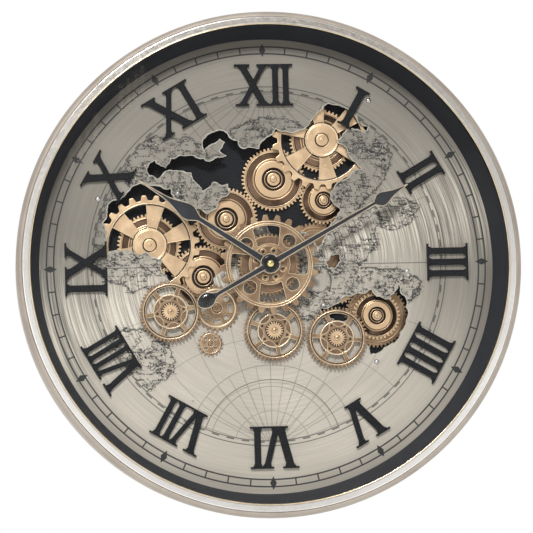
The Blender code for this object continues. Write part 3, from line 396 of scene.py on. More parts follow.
FINISH = {
    "antique_silver": speckled("antique_silver", (0.53, 0.475, 0.413), (0.455, 0.4, 0.345), 0.6, 1.0, 20),
    "satin_silver": speckled("satin_silver", (0.87, 0.85, 0.82), (0.8, 0.775, 0.74), 0.2, 1.0, 16),
    "lip": speckled("brassy_lip", (0.80, 0.69, 0.50), (0.68, 0.57, 0.40), 0.22, 1.0),
    "black": speckled("black_paint", (0.023, 0.025, 0.031), (0.029, 0.031, 0.038), 0.6, 0.0, 30, 0.15),
    "wall": speckled("wall_paint", (0.04, 0.044, 0.057), (0.047, 0.051, 0.064), 0.6, 0.0, 30, 0.15),
    "numeral": speckled("numeral_black", (0.008, 0.009, 0.012), (0.013, 0.014, 0.017), 0.5, 0.0, 40, 0.18),
    # Three-tone metals: the second colour is painted light on slopes and broken edges, shade in the brass and a
    # highlight in the gilt, bronze and gunmetal. The third is painted shade on sides.
    "brass": three_tone("worn_brass_with_painted_shade", (0.84, 0.595, 0.375), (0.23, 0.142, 0.092), (0.16, 0.1, 0.07), 0.32),
    "gilt": three_tone("gilt_brass", (0.76, 0.53, 0.335), (1.0, 0.81, 0.57), (0.2, 0.13, 0.085), 0.32),
    "bronze": three_tone("bronze", (0.285, 0.182, 0.113), (0.86, 0.64, 0.42), (0.14, 0.088, 0.06), 0.34),
    # Painted shade: a dark brown for shadow lines, grooves and hollows where shade falls.
    "painted_shade_brown": speckled("painted_shade_brown", (0.05, 0.036, 0.03), (0.03, 0.023, 0.02), 0.5, 0.4, 90),
    # Painted highlight: a lighter brass for raised beads, ridges and studs.
    "painted_highlight_brass": speckled("painted_highlight_brass", (0.98, 0.82, 0.61), (0.82, 0.65, 0.46), 0.3, 1.0, 90),
    # Painted shade: a brown brass for bands, floors, hollows and seats where shade falls.
    "painted_shade_brass": speckled("brass_in_painted_shade", (0.27, 0.175, 0.115), (0.19, 0.12, 0.08), 0.4, 1.0, 60),
    "bright_brass": speckled("bright_brass", (0.86, 0.70, 0.32), (0.76, 0.60, 0.27), 0.2, 1.0),
    "cut_edge": speckled("cut_edge", (0.84, 0.81, 0.73), (0.5, 0.48, 0.43), 0.35, 0.7, 200),
    "gunmetal": three_tone(
        "gunmetal", (0.05, 0.053, 0.062), (0.78, 0.68, 0.55), (0.3, 0.22, 0.16), 0.32, 0.7, wear=0.0,
    ),
    # Painted highlight: a cream for the bead along each hand's edge.
    "hand_painted_highlight": speckled("hand_painted_highlight", (0.8, 0.7, 0.56), (0.5, 0.4, 0.3), 0.34, 0.9, 70),
    "gloss_black": speckled("gloss_black", (0.008, 0.009, 0.011), (0.014, 0.015, 0.017), 0.14, 0.0, 50),
    "steel": speckled("zinc_steel", (0.62, 0.61, 0.59), (0.5, 0.49, 0.47), 0.3, 1.0, 50),
    "black_plastic": speckled("black_plastic", (0.03, 0.03, 0.032), (0.04, 0.04, 0.042), 0.55, 0.0, 80),
    "white_plastic": speckled("white_plastic", (0.75, 0.75, 0.72), (0.7, 0.7, 0.67), 0.5, 0.0, 80),
    "cell_sleeve": speckled("cell_sleeve", (0.1, 0.17, 0.27), (0.09, 0.15, 0.24), 0.3, 0.2, 60),
    "brushed_dial": dial_finish(),
    "glass": glass_finish(),
}


def polar(radius, angle, centre=(0, 0)):
    return (centre[0] + radius * math.cos(angle), centre[1] + radius * math.sin(angle))


def circle(radius, steps, centre=(0, 0)):
    return [polar(radius, TURN * i / steps, centre) for i in range(steps)]


def finished_mesh(helper):
    """The helper's mesh with its modifiers applied. The helper is removed."""
    mesh = bpy.data.meshes.new_from_object(helper.evaluated_get(bpy.context.evaluated_depsgraph_get()))
    data = helper.data
    bpy.data.objects.remove(helper)
    if isinstance(data, bpy.types.Curve):
        bpy.data.curves.remove(data)
    return mesh


def helper_of(data):
    helper = bpy.data.objects.new("helper", data)
    scene.collection.objects.link(helper)
    return helper


def corner_arc(before, corner, after, radius, limit, steps):
    """Points on the arc in a corner's place, cut back by the radius or at most by a share of each side."""
    start = corner + (before - corner).normalized() * min(radius, (before - corner).length * limit)
    end = corner + (after - corner).normalized() * min(radius, (after - corner).length * limit)
    shares = [i / steps for i in range(steps + 1)]
    return [tuple(start * (1 - t) ** 2 + corner * (2 * t * (1 - t)) + end * t * t) for t in shares]


def rounded(profile, radius):
    """The profile with each inner corner cut back by the radius and rounded."""
    points = [Vector(point) for point in profile]
    smooth = [tuple(points[0])]
    for before, corner, after in zip(points, points[1:], points[2:]):
        smooth += corner_arc(before, corner, after, radius, limit=0.45, steps=3)
    return [*smooth, tuple(points[-1])]


def turned(profile, steps=96):
    """A solid of revolution from (radius, z), down its outer side. A ring's profile comes back up."""
    mesh = bpy.data.meshes.new("turned")
    closed = profile[0][0] > 0
    count = len(profile)
    edges = [(i, (i + 1) % count) for i in range(count if closed else count - 1)]
    mesh.from_pydata([(radius * MM, 0, height * MM) for radius, height in profile], edges, [])
    helper = helper_of(mesh)
    screw = helper.modifiers.new("turn", "SCREW")
    screw.steps = screw.render_steps = steps
    screw.use_merge_vertices = True
    screw.merge_threshold = TURNED_WELD
    return finished_mesh(helper)


def flat_ring(inner, outer, bottom, top, steps=96):
    """A ring with square edges, or a disc where inner is 0."""
    return turned([(inner, top), (outer, top), (outer, bottom), (inner, bottom)], steps)


def ridge(inner, outer, base, rise, steps=96):
    """A low ring with rounded shoulders that stands on a face."""
    slope = min(0.4, (outer - inner) / 4)
    return turned(rounded([
        (inner, base), (inner + slope, base + rise), (outer - slope, base + rise), (outer, base),
        (outer, base - 0.3), (inner, base - 0.3),
    ], 0.3), steps)


def bevelled(mesh, width, segments=2):
    """The mesh with its sharp edges broken."""
    helper = helper_of(mesh)
    bevel = helper.modifiers.new("edge", "BEVEL")
    bevel.width = width * MM
    bevel.segments = segments
    bevel.limit_method = "ANGLE"
    bevel.angle_limit = BROKEN_EDGE
    return finished_mesh(helper)


def drawn(loops):
    """A flat curve object's data with one closed spline for each loop."""
    curve = bpy.data.curves.new("outline", "CURVE")
    for loop in loops:
        spline = curve.splines.new("POLY")
        spline.points.add(len(loop) - 1)
        for point, (x, y) in zip(spline.points, loop):
            point.co = (x * MM, y * MM, 0, 1)
        spline.use_cyclic_u = True
    return curve


def plate(loops, bottom, top, edge, segments=2):
    """A flat plate: the first loop is its edge, the others are holes, and its edges are broken."""
    curve = drawn(loops)
    curve.dimensions = "2D"
    curve.fill_mode = "BOTH"
    curve.extrude = (top - bottom) / 2 * MM
    mesh = finished_mesh(helper_of(curve))
    shape = bmesh.new()
    shape.from_mesh(mesh)
    bmesh.ops.remove_doubles(shape, verts=shape.verts, dist=WELD)
    bmesh.ops.recalc_face_normals(shape, faces=shape.faces)
    shape.to_mesh(mesh)
    shape.free()
    return bevelled(moved(mesh, 0, 0, (top + bottom) / 2), edge, segments)


def bead(loops, radius, height):
    """Round beads that follow closed loops at a height."""
    curve = drawn(loops)
    curve.dimensions = "3D"
    curve.bevel_depth = radius * MM
    curve.bevel_resolution = 1
    return moved(finished_mesh(helper_of(curve)), 0, 0, height)


def together(*meshes):
    """Several meshes as one."""
    shape = bmesh.new()
    for mesh in meshes:
        shape.from_mesh(mesh)
        bpy.data.meshes.remove(mesh)
    whole = bpy.data.meshes.new("whole")
    shape.to_mesh(whole)
    shape.free()
    return whole


def moved(mesh, x, y, z=0.0, angle=0.0):
    mesh.transform(Matrix.Translation((x * MM, y * MM, z * MM)) @ Matrix.Rotation(angle, 4, "Z"))
    return mesh


def show(name, mesh, finish, body, slot, *nodes):
    """A piece in the row's frame that rides on a body and stands for CAD nodes."""
    mesh.transform(DIAL)
    mesh.shade_smooth()
    mesh.set_sharp_from_angle(angle=SHARP_EDGE)
    helper = helper_of(mesh)
    helper.modifiers.new("flat_faces", "WEIGHTED_NORMAL").keep_sharp = True
    mesh = finished_mesh(helper)
    mesh.name = name
    mesh.materials.clear()
    mesh.materials.append(FINISH[finish])
    made = bpy.data.objects.new(name, mesh)
    scene.collection.objects.link(made)
    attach(made, body)
    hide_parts(*nodes)


def show_on(node, name, meshes, finish, body, *nodes):
    """Meshes shaped about the origin, shown as one piece on a node's axis."""
    show(name, moved(together(*meshes), node.x, node.y), finish, body, "brass", *nodes)


def new_tree(name, inputs):
    """A Geometry Nodes tree's graph, with inputs of the given kinds, and the term that gives them."""
    tree = bpy.data.node_groups.new(name, "GeometryNodeTree")
    for socket, kind in inputs.items():
        tree.interface.new_socket(socket, in_out="INPUT", socket_type=f"NodeSocket{kind}")
    tree.interface.new_socket("Geometry", in_out="OUTPUT", socket_type="NodeSocketGeometry")
    graph = Graph(tree)
    return graph, graph.add("NodeGroupInput")


def joined(graph, first, second):
    both = graph.add("GeometryNodeJoinGeometry", {"Geometry": first})
    graph.tree.links.new(second.socket, both.socket.node.inputs["Geometry"])
    return both


def ended_tree(graph, given, geometry):
    """The graph's tree, ended by making instances real and setting the material."""
    real = graph.add("GeometryNodeRealizeInstances", {"Geometry": geometry})
    painted = graph.add("GeometryNodeSetMaterial", {"Geometry": real, "Material": given.output("Material")})
    graph.add("NodeGroupOutput", {"Geometry": painted})
    return graph.tree


def toothed_tree():
    """Geometry Nodes: a toothed plate with holes, from its tooth count, radii, phase and thickness."""
    graph, given = new_tree("Toothed plate", {
        "Teeth": "Int", "Samples": "Int", "Root": "Float", "Tip": "Float", "Tip Share": "Float",
        "Root Share": "Float", "Phase": "Float", "Thickness": "Float", "Holes": "Object",
        "Material": "Material",
    })
    teeth, samples = given.output("Teeth"), given.output("Samples")
    inputs = {"Resolution": teeth * samples, "Radius": 1.0}
    ring = graph.add("GeometryNodeCurvePrimitiveCircle", inputs, mode="RADIUS")
    index = graph.add("GeometryNodeInputIndex")
    angle = index * TURN / (teeth * samples)
    along = index / samples - given.output("Phase") * teeth / TURN
    from_tip = along.math("PINGPONG", 0.5) * 2
    radius = graph.add("ShaderNodeMapRange", {
        "Value": from_tip, "From Min": given.output("Tip Share"), "From Max": 1 - given.output("Root Share"),
        "To Min": given.output("Tip"), "To Max": given.output("Root"),
    })
    place = spread(angle.math("COSINE") * radius, angle.math("SINE") * radius)
    rim = graph.add("GeometryNodeSetPosition", {"Geometry": ring, "Position": place})
    holes = graph.add("GeometryNodeObjectInfo", {"Object": given.output("Holes")}, output="Geometry")
    face = graph.add("GeometryNodeFillCurve", {"Curve": joined(graph, rim, holes)}, mode="TRIANGLES")
    up = graph.add("ShaderNodeCombineXYZ", {"Z": 1.0})
    raised = graph.add("GeometryNodeExtrudeMesh", {
        "Mesh": face, "Offset": up, "Offset Scale": given.output("Thickness"), "Individual": False,
    })
    back = graph.add("GeometryNodeFlipFaces", {"Mesh": face})
    inputs = {"Geometry": joined(graph, raised, back), "Distance": WELD}
    return ended_tree(graph, given, graph.add("GeometryNodeMergeByDistance", inputs))


def studs_tree():
    """Geometry Nodes: a ring of round-headed studs."""
    graph, given = new_tree("Ring of studs", {
        "Count": "Int", "Circle": "Float", "Stud": "Float", "Height": "Float", "Phase": "Float",
        "Material": "Material",
    })
    inputs = {"Vertices": given.output("Count"), "Radius": given.output("Circle")}
    ring = graph.add("GeometryNodeMeshCircle", inputs)
    turn = graph.add("ShaderNodeCombineXYZ", {"Z": given.output("Phase")})
    points = graph.add("GeometryNodeTransform", {"Geometry": ring, "Rotation": turn})
    inputs = {"Segments": 20, "Rings": 10, "Radius": given.output("Stud")}
    ball = graph.add("GeometryNodeMeshUVSphere", inputs)
    inputs = {"X": 1.0, "Y": 1.0, "Z": given.output("Height") / given.output("Stud")}
    squat = graph.add("ShaderNodeCombineXYZ", inputs)
    head = graph.add("GeometryNodeTransform", {"Geometry": ball, "Scale": squat})
    heads = graph.add("GeometryNodeInstanceOnPoints", {"Points": points, "Instance": head})
    return ended_tree(graph, given, heads)


TOOTHED = toothed_tree()
STUDS = studs_tree()


def grown(tree, values):
    """The mesh that a Geometry Nodes tree makes from values given by input name."""
    helper = helper_of(bpy.data.meshes.new("grown"))
    nodes = helper.modifiers.new("grow", "NODES")
    nodes.node_group = tree
    for item in tree.interface.items_tree:
        if item.in_out == "INPUT" and item.name in values:
            nodes[item.identifier] = values[item.name]
    return finished_mesh(helper)


def toothed(
    teeth, root, tip, phase, bottom, top, edge, holes=(), tip_share=0.3, root_share=0.34, samples=12,
):
    """A toothed plate about the origin, with broken edges."""
    outlines = helper_of(drawn(holes)) if holes else None
    mesh = grown(TOOTHED, {
        "Teeth": teeth, "Samples": samples, "Root": root * MM, "Tip": tip * MM, "Tip Share": tip_share,
        "Root Share": root_share, "Phase": phase, "Thickness": (top - bottom) * MM, "Holes": outlines,
    })
    if outlines:
        bpy.data.objects.remove(outlines)
    return bevelled(moved(mesh, 0, 0, bottom), edge)


def studs(count, radius, stud, height, at, phase):
    """A ring of studs whose middles lie at that height."""
    values = {"Count": count, "Circle": radius * MM, "Stud": stud * MM, "Height": height * MM, "Phase": phase}
    return moved(grown(STUDS, values), 0, 0, at)


def sector(inner, outer, middle, inner_angle, outer_angle):
    """A window between two spokes, its corners left square."""
    shares = [i / 10 - 0.5 for i in range(11)]
    outside = [polar(outer, middle + outer_angle * share) for share in shares]
    return outside + [polar(inner, middle - inner_angle * share) for share in shares]


def windows(count, inner, outer, at, spoke):
    """Windows between spokes of one width in millimetres, the first spoke lying at an angle."""
    pitch = TURN / count
    return [
        sector(inner, outer, at + pitch * (i + 0.5), pitch - spoke / inner, pitch - spoke / outer)
        for i in range(count)
    ]


class Node:
    """A CAD node's place in dial coordinates, in millimetres."""

    def __init__(self, name):
        mesh = frame["nodes"][name].data
        inverse = DIAL.inverted()
        self.points = [inverse @ vertex.co / MM for vertex in mesh.vertices]
        self.faces = [tuple(face.vertices) for face in mesh.polygons]
        xs, ys, zs = zip(*self.points)
        self.x, self.y = (min(xs) + max(xs)) / 2, (min(ys) + max(ys)) / 2
        self.bottom, self.top = min(zs), max(zs)

    def phase(self, teeth):
        """The angle of a tooth, from the outermost points."""
        offsets = [complex(point.x - self.x, point.y - self.y) for point in self.points]
        outer = max(abs(offset) for offset in offsets)
        tips = [(offset / abs(offset)) ** teeth for offset in offsets if abs(offset) > outer * 0.992]
        total = sum(tips)
        return math.atan2(total.imag, total.real) / teeth

    def outlines(self, height):
        """The closed loops that bound the flat face at that height, the one that reaches farthest first."""
        key = [(round(point.x, 3), round(point.y, 3)) for point in self.points]
        edges = {}
        for face in self.faces:
            if all(abs(self.points[i].z - height) < 0.01 for i in face):
                for a, b in zip(face, face[1:] + face[:1]):
                    pair = (key[a], key[b])
                    if pair[::-1] in edges:
                        edges.pop(pair[::-1])
                    else:
                        edges[pair] = True
        onward = dict(edges.keys())
        loops = []
        while onward:
            start, here = next(iter(onward.items()))
            loop = [start]
            onward.pop(start)
            while here != start:
                loop.append(here)
                here = onward.pop(here)
            loops.append(loop)
        return sorted(loops, key=reach_of, reverse=True)


def eased(loop, sharp):
    """A loop as a smooth curve through its points. Corners stay where it turns by more than sharp."""
    steps = 5
    count = len(loop)
    points = [Vector(point) for point in loop]
    turns = []
    for i in range(count):
        before, after = points[i] - points[i - 1], points[(i + 1) % count] - points[i]
        turns.append(abs(before.angle_signed(after, 0)) > sharp)
    curve = []
    for i in range(count):
        a, b = points[i], points[(i + 1) % count]
        before = points[i - 1] if not turns[i] else a - (b - a)
        after = points[(i + 2) % count] if not turns[(i + 1) % count] else b + (b - a)
        for step in range(steps):
            t = step / steps
            curve.append(tuple(
                0.5 * (2 * a + (b - before) * t + (2 * before - 5 * a + 4 * b - after) * t * t
                       + (3 * a - before - 3 * b + after) * t ** 3)
            ))
    return curve


def coast(loop, depth, lean):
    """A loop broken up like a coast: each side is halved again and again, its middle pushed aside.

    The sine's uneven steps give pushes that look random and are the same in each run.
    """
    for level in range(depth):
        broken = []
        for i, (a, b) in enumerate(zip(loop, loop[1:] + loop[:1])):
            a, b = Vector(a), Vector(b)
            side = Vector((a.y - b.y, b.x - a.x))
            push = lean * math.sin(12.9898 * (i + 1) + 78.233 * (level + 1) + 0.37 * a.x)
            broken += [tuple(a), tuple((a + b) / 2 + side * push)]
        loop = broken
    return loop


def softened(loop, radius):
    """A closed loop whose sharp corners are cut back and rounded."""
    points = [Vector(point) for point in loop]
    smooth = []
    for i, corner in enumerate(points):
        before, after = points[i - 1], points[(i + 1) % len(points)]
        if abs((corner - before).angle_signed(after - corner, 0)) < SHARP_CORNER:
            smooth.append(tuple(corner))
        else:
            smooth += corner_arc(before, corner, after, radius, limit=0.7, steps=4)
    return smooth


def reach_of(loop):
    """How far a loop's points lie from the dial's axis at most."""
    return max(abs(complex(*point)) for point in loop)


def build_case():
    drum, bezel, rehaut, glass = Node("case_drum"), Node("bezel"), Node("rehaut_ring"), Node("front_glass")
    inside = CASE_RADIUS - CASE_WALL
    shell = [
        (inside, drum.top), (CASE_RADIUS - 0.6, drum.top), (CASE_RADIUS, drum.top - 0.6), (CASE_RADIUS, 1.2),
        (CASE_RADIUS - 1, 0), (inside + 0.4, 0), (inside, 0.4), (inside, LEDGE_BOTTOM),
        (LEDGE_RADIUS, LEDGE_BOTTOM), (LEDGE_RADIUS, LEDGE_TOP), (inside, LEDGE_TOP),
    ]
    mesh = turned(rounded(shell, 0.3), CASE_STEPS)
    show("drum_shell", mesh, "antique_silver", "case", "antique_silver", "case_drum")
    high = bezel.top
    shoulder = CASE_RADIUS - 7
    ring = [
        (shoulder, high - 3.6), (shoulder + 0.7, high - 2.9), (CASE_RADIUS - 3, high - 4.6),
        (CASE_RADIUS - 0.8, high - 8.4), (CASE_RADIUS, high - 12), (CASE_RADIUS, bezel.bottom),
        (LIP_RADIUS + 4.4, bezel.bottom), (LIP_RADIUS + 4.4, high - 4.7), (shoulder - 1, high - 4.7),
    ]
    mesh = turned(rounded(ring, 0.8), CASE_STEPS)
    show("bezel_ring", mesh, "antique_silver", "case", "antique_silver", "bezel")
    band = [
        (LIP_RADIUS + 1.6, high - 0.95), (LIP_RADIUS + 2.4, high - 0.8), (shoulder - 1, high - 0.97),
        (shoulder - 0.3, high - 1.9), (shoulder - 0.3, high - 4.7), (LIP_RADIUS + 1.6, high - 4.7),
    ]
    show("bezel_band", turned(rounded(band, 0.7), CASE_STEPS), "satin_silver", "case", "antique_silver")
    lip = [polar(0.95, 1.2 - TURN * i / 16, (LIP_RADIUS + 0.95, high - 0.98)) for i in range(16)]
    show("bezel_lip", turned(lip, CASE_STEPS), "lip", "case", "antique_silver")
    wall = [
        (LIP_RADIUS, rehaut.top), (LIP_RADIUS + WALL_THICKNESS, rehaut.top),
        (WALL_FOOT_RADIUS + WALL_THICKNESS, rehaut.bottom), (WALL_FOOT_RADIUS, rehaut.bottom),
    ]
    show("inner_wall", turned(wall, CASE_STEPS), "wall", "case", "black", "rehaut_ring")
    pane = flat_ring(0, GLASS_RADIUS, glass.bottom, glass.top, CASE_STEPS)
    show("glass_pane", pane, "glass", "case", "glass", "front_glass")


def build_dial():
    dial = Node("dial_plate")
    edge, *cuts = dial.outlines(dial.top)
    loops = [circle(reach_of(edge), 200)]
    coasts = []
    for cut in cuts:
        if reach_of(cut) < CENTRE_HOLE_LIMIT:
            loops.append(circle(reach_of(cut), 40))
        else:
            coasts.append(coast(cut, 3, 0.13))
    sheet = plate(loops + coasts, dial.bottom, dial.top, 0.25, 1)
    show("map_dial", sheet, "brushed_dial", "case", "brushed_dial", "dial_plate")
    show("coast_edges", bead(coasts, 0.75, dial.top - 0.2), "cut_edge", "case", "brushed_dial")
    head = [(0, 1.7), (1.2, 1.6), (2.4, 1.2), (3.1, 0.4), (3.2, 0), (0, 0)]
    screws = [moved(turned(head, 24), x, y, dial.top + 0.02) for x, y in SCREWS]
    show("dial_screws", together(*screws), "steel", "case", "steel")


def build_numerals():
    for hour in range(1, 13):
        name = f"numeral_{hour:02d}"
        node = Node(name)
        numeral = plate(node.outlines(node.top), node.bottom, node.top, 0.4)
        show(f"hour_{name}", numeral, "numeral", "case", "black", name)


def hand_outline(stations, direction):
    """A hand's outline from distances along it and half widths there, the tail first."""
    loop = [*stations, *((along, -half) for along, half in reversed(stations))]
    turn = Matrix.Rotation(direction, 2)
    return eased([tuple(turn @ Vector(point)) for point in loop], HAND_CORNER)


def build_hands():
    boss = [(-10.7, 4.2), (-8, 8.3), (-4, 10.8), (0, 11.5), (4, 10.8), (8, 8.3), (10.7, 4.6)]
    hour = [
        (-11.5, 0.4), *boss, (13, 3.9), (40, 3.4), (94, 2.8), (100, 3.3), (105, 5.6), (110, 8.4),
        (115.5, 9.4), (121, 8.7), (129, 6.2), (138, 3.5), (148, 1.8), (164, 0.9),
    ]
    minute = [
        (-99, 0.5), (-97.5, 4.2), (-93, 7.6), (-87.5, 9.0), (-82, 7.8), (-77.5, 4.6), (-73, 2.8), (-66, 2.4),
        (-13, 3.2), *boss, (13, 3.4), (60, 2.8), (138, 2.0), (144, 2.5), (147.5, 4.6), (151, 7.3),
        (154.5, 8.2), (159, 7.4), (165, 5.2), (172, 3.0), (180, 1.5),
    ]
    for name, body, stations in (("hour_hand", "hour", hour), ("minute_hand", "minute", minute)):
        node = Node(name)
        outline, *bores = node.outlines(node.top)
        tip = max(outline, key=lambda point: abs(complex(*point)))
        holes = [circle(reach_of(bore), 40) for bore in bores]
        outline = hand_outline([*stations, (math.hypot(*tip), 0.3)], math.atan2(tip[1], tip[0]))
        blade = plate([outline, *holes], node.bottom, node.top, 0.3)
        show(f"{name}_blade", blade, "gunmetal", body, "gunmetal", name)
        # A bead in a painted highlight along the hand's edge.
        show(f"{name}_edge", bead([outline], 0.75, node.top - 0.2), "hand_painted_highlight", body, "gunmetal")
    top = Node("minute_hand").top
    drop = turned(rounded([(0, 1.5), (4.6, 1.1), (7.0, 0.4), (7.6, -0.1), (0, -0.1)], 0.8), 48)
    drop.transform(Matrix.Diagonal((1.42, 1.0, 1.0, 1.0)))
    drop = moved(drop, *polar(TAIL_AT, TAIL_DIRECTION), top, TAIL_DIRECTION)
    collar = [(2.6, top + 0.9), (8.6, top + 0.8), (10.6, top), (10.6, top - 0.4), (2.6, top - 0.4)]
    collar = turned(rounded(collar, 0.5), 48)
    show("hand_collar", together(drop, collar), "gloss_black", "minute", "gunmetal")
    nut = Node("hand_nut")
    cap = [
        (0, nut.top + 0.6), (2.1, nut.top + 0.4), (4, nut.top - 0.5), (4.2, nut.top - 1.4),
        (4.2, nut.bottom + 0.6), (0, nut.bottom + 0.6),
    ]
    show("cap_nut", turned(rounded(cap, 0.6), 32), "bright_brass", "minute", "brass", "hand_nut")


def bowl(scale, bottom, top):
    """The bowl on a fine wheel: a cap, a groove with a thin ring, a bright ring, a slope that the brass finish
    paints brown as shade, and a bead.
    """
    rise = top - bottom
    shape = [
        (0, 0.95), (7.2, 0.95), (8.2, 0.86), (8.6, 0.1), (9.6, 0.1), (9.9, 0.45), (11.1, 0.45), (11.4, 0.05),
        (13.1, 0.05), (13.7, 0.9), (14.5, 1.0), (22.0, 0.95), (22.9, 0.86), (23.2, 0.66), (23.8, 0.66),
        (24.1, 0.8), (24.9, 0.78), (31.4, 0.05), (32.2, 0.05), (32.5, 0.24), (33.5, 0.24), (33.9, 0.0),
        (33.9, -0.06), (0, -0.06),
    ]
    return turned(rounded([(radius * scale, bottom + share * rise) for radius, share in shape], 0.4))


def fine_wheel(name, piece, body, teeth, bowled=True):
    """One of the train's fine wheels: a toothed disc with its bowl or boss."""
    node = Node(name)
    pitch = FINE_MODULE * teeth / 2
    face = node.bottom + FINE_DISC
    disc = toothed(teeth, pitch - 2.1, pitch + 0.85, node.phase(teeth), node.bottom, face, 0.2)
    if bowled:
        scale = pitch / FINE_PITCH
        show_on(node, piece, [disc, bowl(scale, face, node.top)], "brass", body, name)
        # Painted shade: dark rings in the bowl's three grooves.
        grooves = [(8.7, 9.7), (11.3, 13.2), (31.3, 32.3)]
        dark = [ridge(inner * scale, outer * scale, face + 0.45, 0.15) for inner, outer in grooves]
        show_on(node, f"{piece}_grooves", dark, "painted_shade_brown", body)
        return
    meshes = [disc, ridge(pitch - 6.0, pitch - 4.4, face, 0.8), ridge(pitch - 14.0, pitch - 8.0, face, 0.8)]
    if node.top > face + 1:
        boss = [(0, node.top), (5, node.top), (5, face - 0.2), (0, face - 0.2)]
        meshes.append(turned(rounded(boss, 0.4), 32))
    show_on(node, piece, meshes, "bronze", body, name)


def spoked_wheel(name, piece, body):
    """A coarse wheel: six flared spokes with studs, set low between a toothed rim and a thick hub."""
    node = Node(name)
    at = math.radians(SPOKES_AT[name])
    low, high, top = node.bottom + 1, node.bottom + 4, node.top
    rim_inside, hub_radius = 49.2, 20.6
    spoke_top = high - 0.9
    rim = toothed(COARSE_TEETH, 53.8, 60.1, at, low, high, holes=[circle(rim_inside, 120)], **COARSE_SHAPE)
    outline = [(18, -4.9), (50, -11.2), (50, 11.2), (18, 4.9)]
    spokes = []
    # Trims in a painted highlight: the rim's inner ridge, the studs, the spokes' beads and the hub ring.
    trims = [ridge(rim_inside, 50.8, high, 0.6, 120), studs(6, 31.0, 1.1, 0.8, spoke_top, at)]
    for i in range(6):
        turn = at + TURN * i / 6
        spokes.append(moved(plate([outline], low + 0.2, spoke_top, 0.5), 0, 0, 0, turn))
        trims.append(moved(bead([outline], 0.75, high - 1.0), 0, 0, 0, turn))
    hub = turned(rounded([
        (0, top), (7.0, top), (7.5, top - 0.2), (7.7, top - 0.8), (8.4, top - 0.8), (8.7, top - 0.35),
        (17.6, top - 0.35), (17.9, top - 0.9), (18.5, top - 0.9), (18.8, top - 0.2), (19.8, top - 0.15),
        (hub_radius, top - 1.0), (hub_radius, low - 0.4), (20, node.bottom), (0, node.bottom),
    ], 0.25), 80)
    trims.append(ridge(18.9, 20.2, top - 0.3, 0.3, 80))
    show_on(node, piece, [rim, *spokes, hub], "gilt", body, name)
    show_on(node, f"{piece}_trim", trims, "painted_highlight_brass", body)
    # Painted shadow: dark rings where the rim and the hub shade the low spokes, and in the hub's groove.
    painted_shadows = [
        ridge(47.9, 49.3, spoke_top, 0.12, 120), ridge(20.5, 21.6, spoke_top, 0.12, 80),
        ridge(7.6, 8.5, top - 0.6, 0.12),
    ]
    show_on(node, f"{piece}_gaps", painted_shadows, "painted_shade_brown", body)


def post(name, piece):
    """A gear's post: a foot on the panel, a thin shaft and a head with a dimple round its tip."""
    node = Node(name)
    top, foot = node.top, node.bottom + 1.4
    head = max(math.hypot(point.x - node.x, point.y - node.y) for point in node.points if point.z > top - 1.6)
    profile = [
        (0, top - 0.05), (head * 0.2, top), (head * 0.3, top - 0.35), (head * 0.7, top - 0.35),
        (head * 0.9, top - 0.5), (head, top - 0.9), (head, top - 1.5), (1.5, top - 1.5), (1.5, foot),
        (5, foot), (5, node.bottom), (0, node.bottom),
    ]
    show_on(node, piece, [turned(rounded(profile, 0.2), 40)], "brass", "case", name)


def build_train():
    for name in ("top", "upper_left", "lower_left", "left", "right", "small"):
        teeth = SMALL_TEETH if name == "small" else FINE_TEETH
        fine_wheel(f"{name}_bowl_wheel", f"{name}_bowl_gear", f"{name}_gear", teeth)
        post(f"{name}_post", f"{name}_pin")
    fine_wheel("hidden_wheel", "hidden_gear_disc", "hidden_gear", FINE_TEETH, bowled=False)
    post("hidden_post", "hidden_pin")
    fine_wheel("lower_right_wheel", "lower_right_gear_disc", "lower_right_gear", FINE_TEETH, bowled=False)
    fine_wheel("lower_right_bowl_wheel", "lower_right_bowl_gear", "lower_right_gear", SMALL_TEETH)
    post("lower_right_post", "lower_right_pin")
    for name in ("left", "right"):
        spoked_wheel(f"{name}_spoked_wheel", f"{name}_spoked_gear", f"{name}_gear")


def build_centre_fine_wheel():
    node = Node("centre_fine_wheel")
    low = node.bottom + 10
    high = low + FINE_DISC
    disc = toothed(FINE_TEETH, 34.4, 37.0, node.phase(FINE_TEETH), low, high, 0.22)
    boss = [(5.5, node.top), (16.6, node.top), (17, node.top - 0.5), (17, node.bottom), (5.5, node.bottom)]
    meshes = [disc, turned(rounded(boss, 0.4), 64), ridge(32.4, 34.0, high, 0.7)]
    show("centre_fine_gear", together(*meshes), "bronze", "case", "brass", "centre_fine_wheel")
    # A band of painted shade on the wheel's face.
    band = flat_ring(17, 32.2, high - 0.2, high + 0.3)
    show("centre_fine_band", band, "painted_shade_brass", "case", "brass")


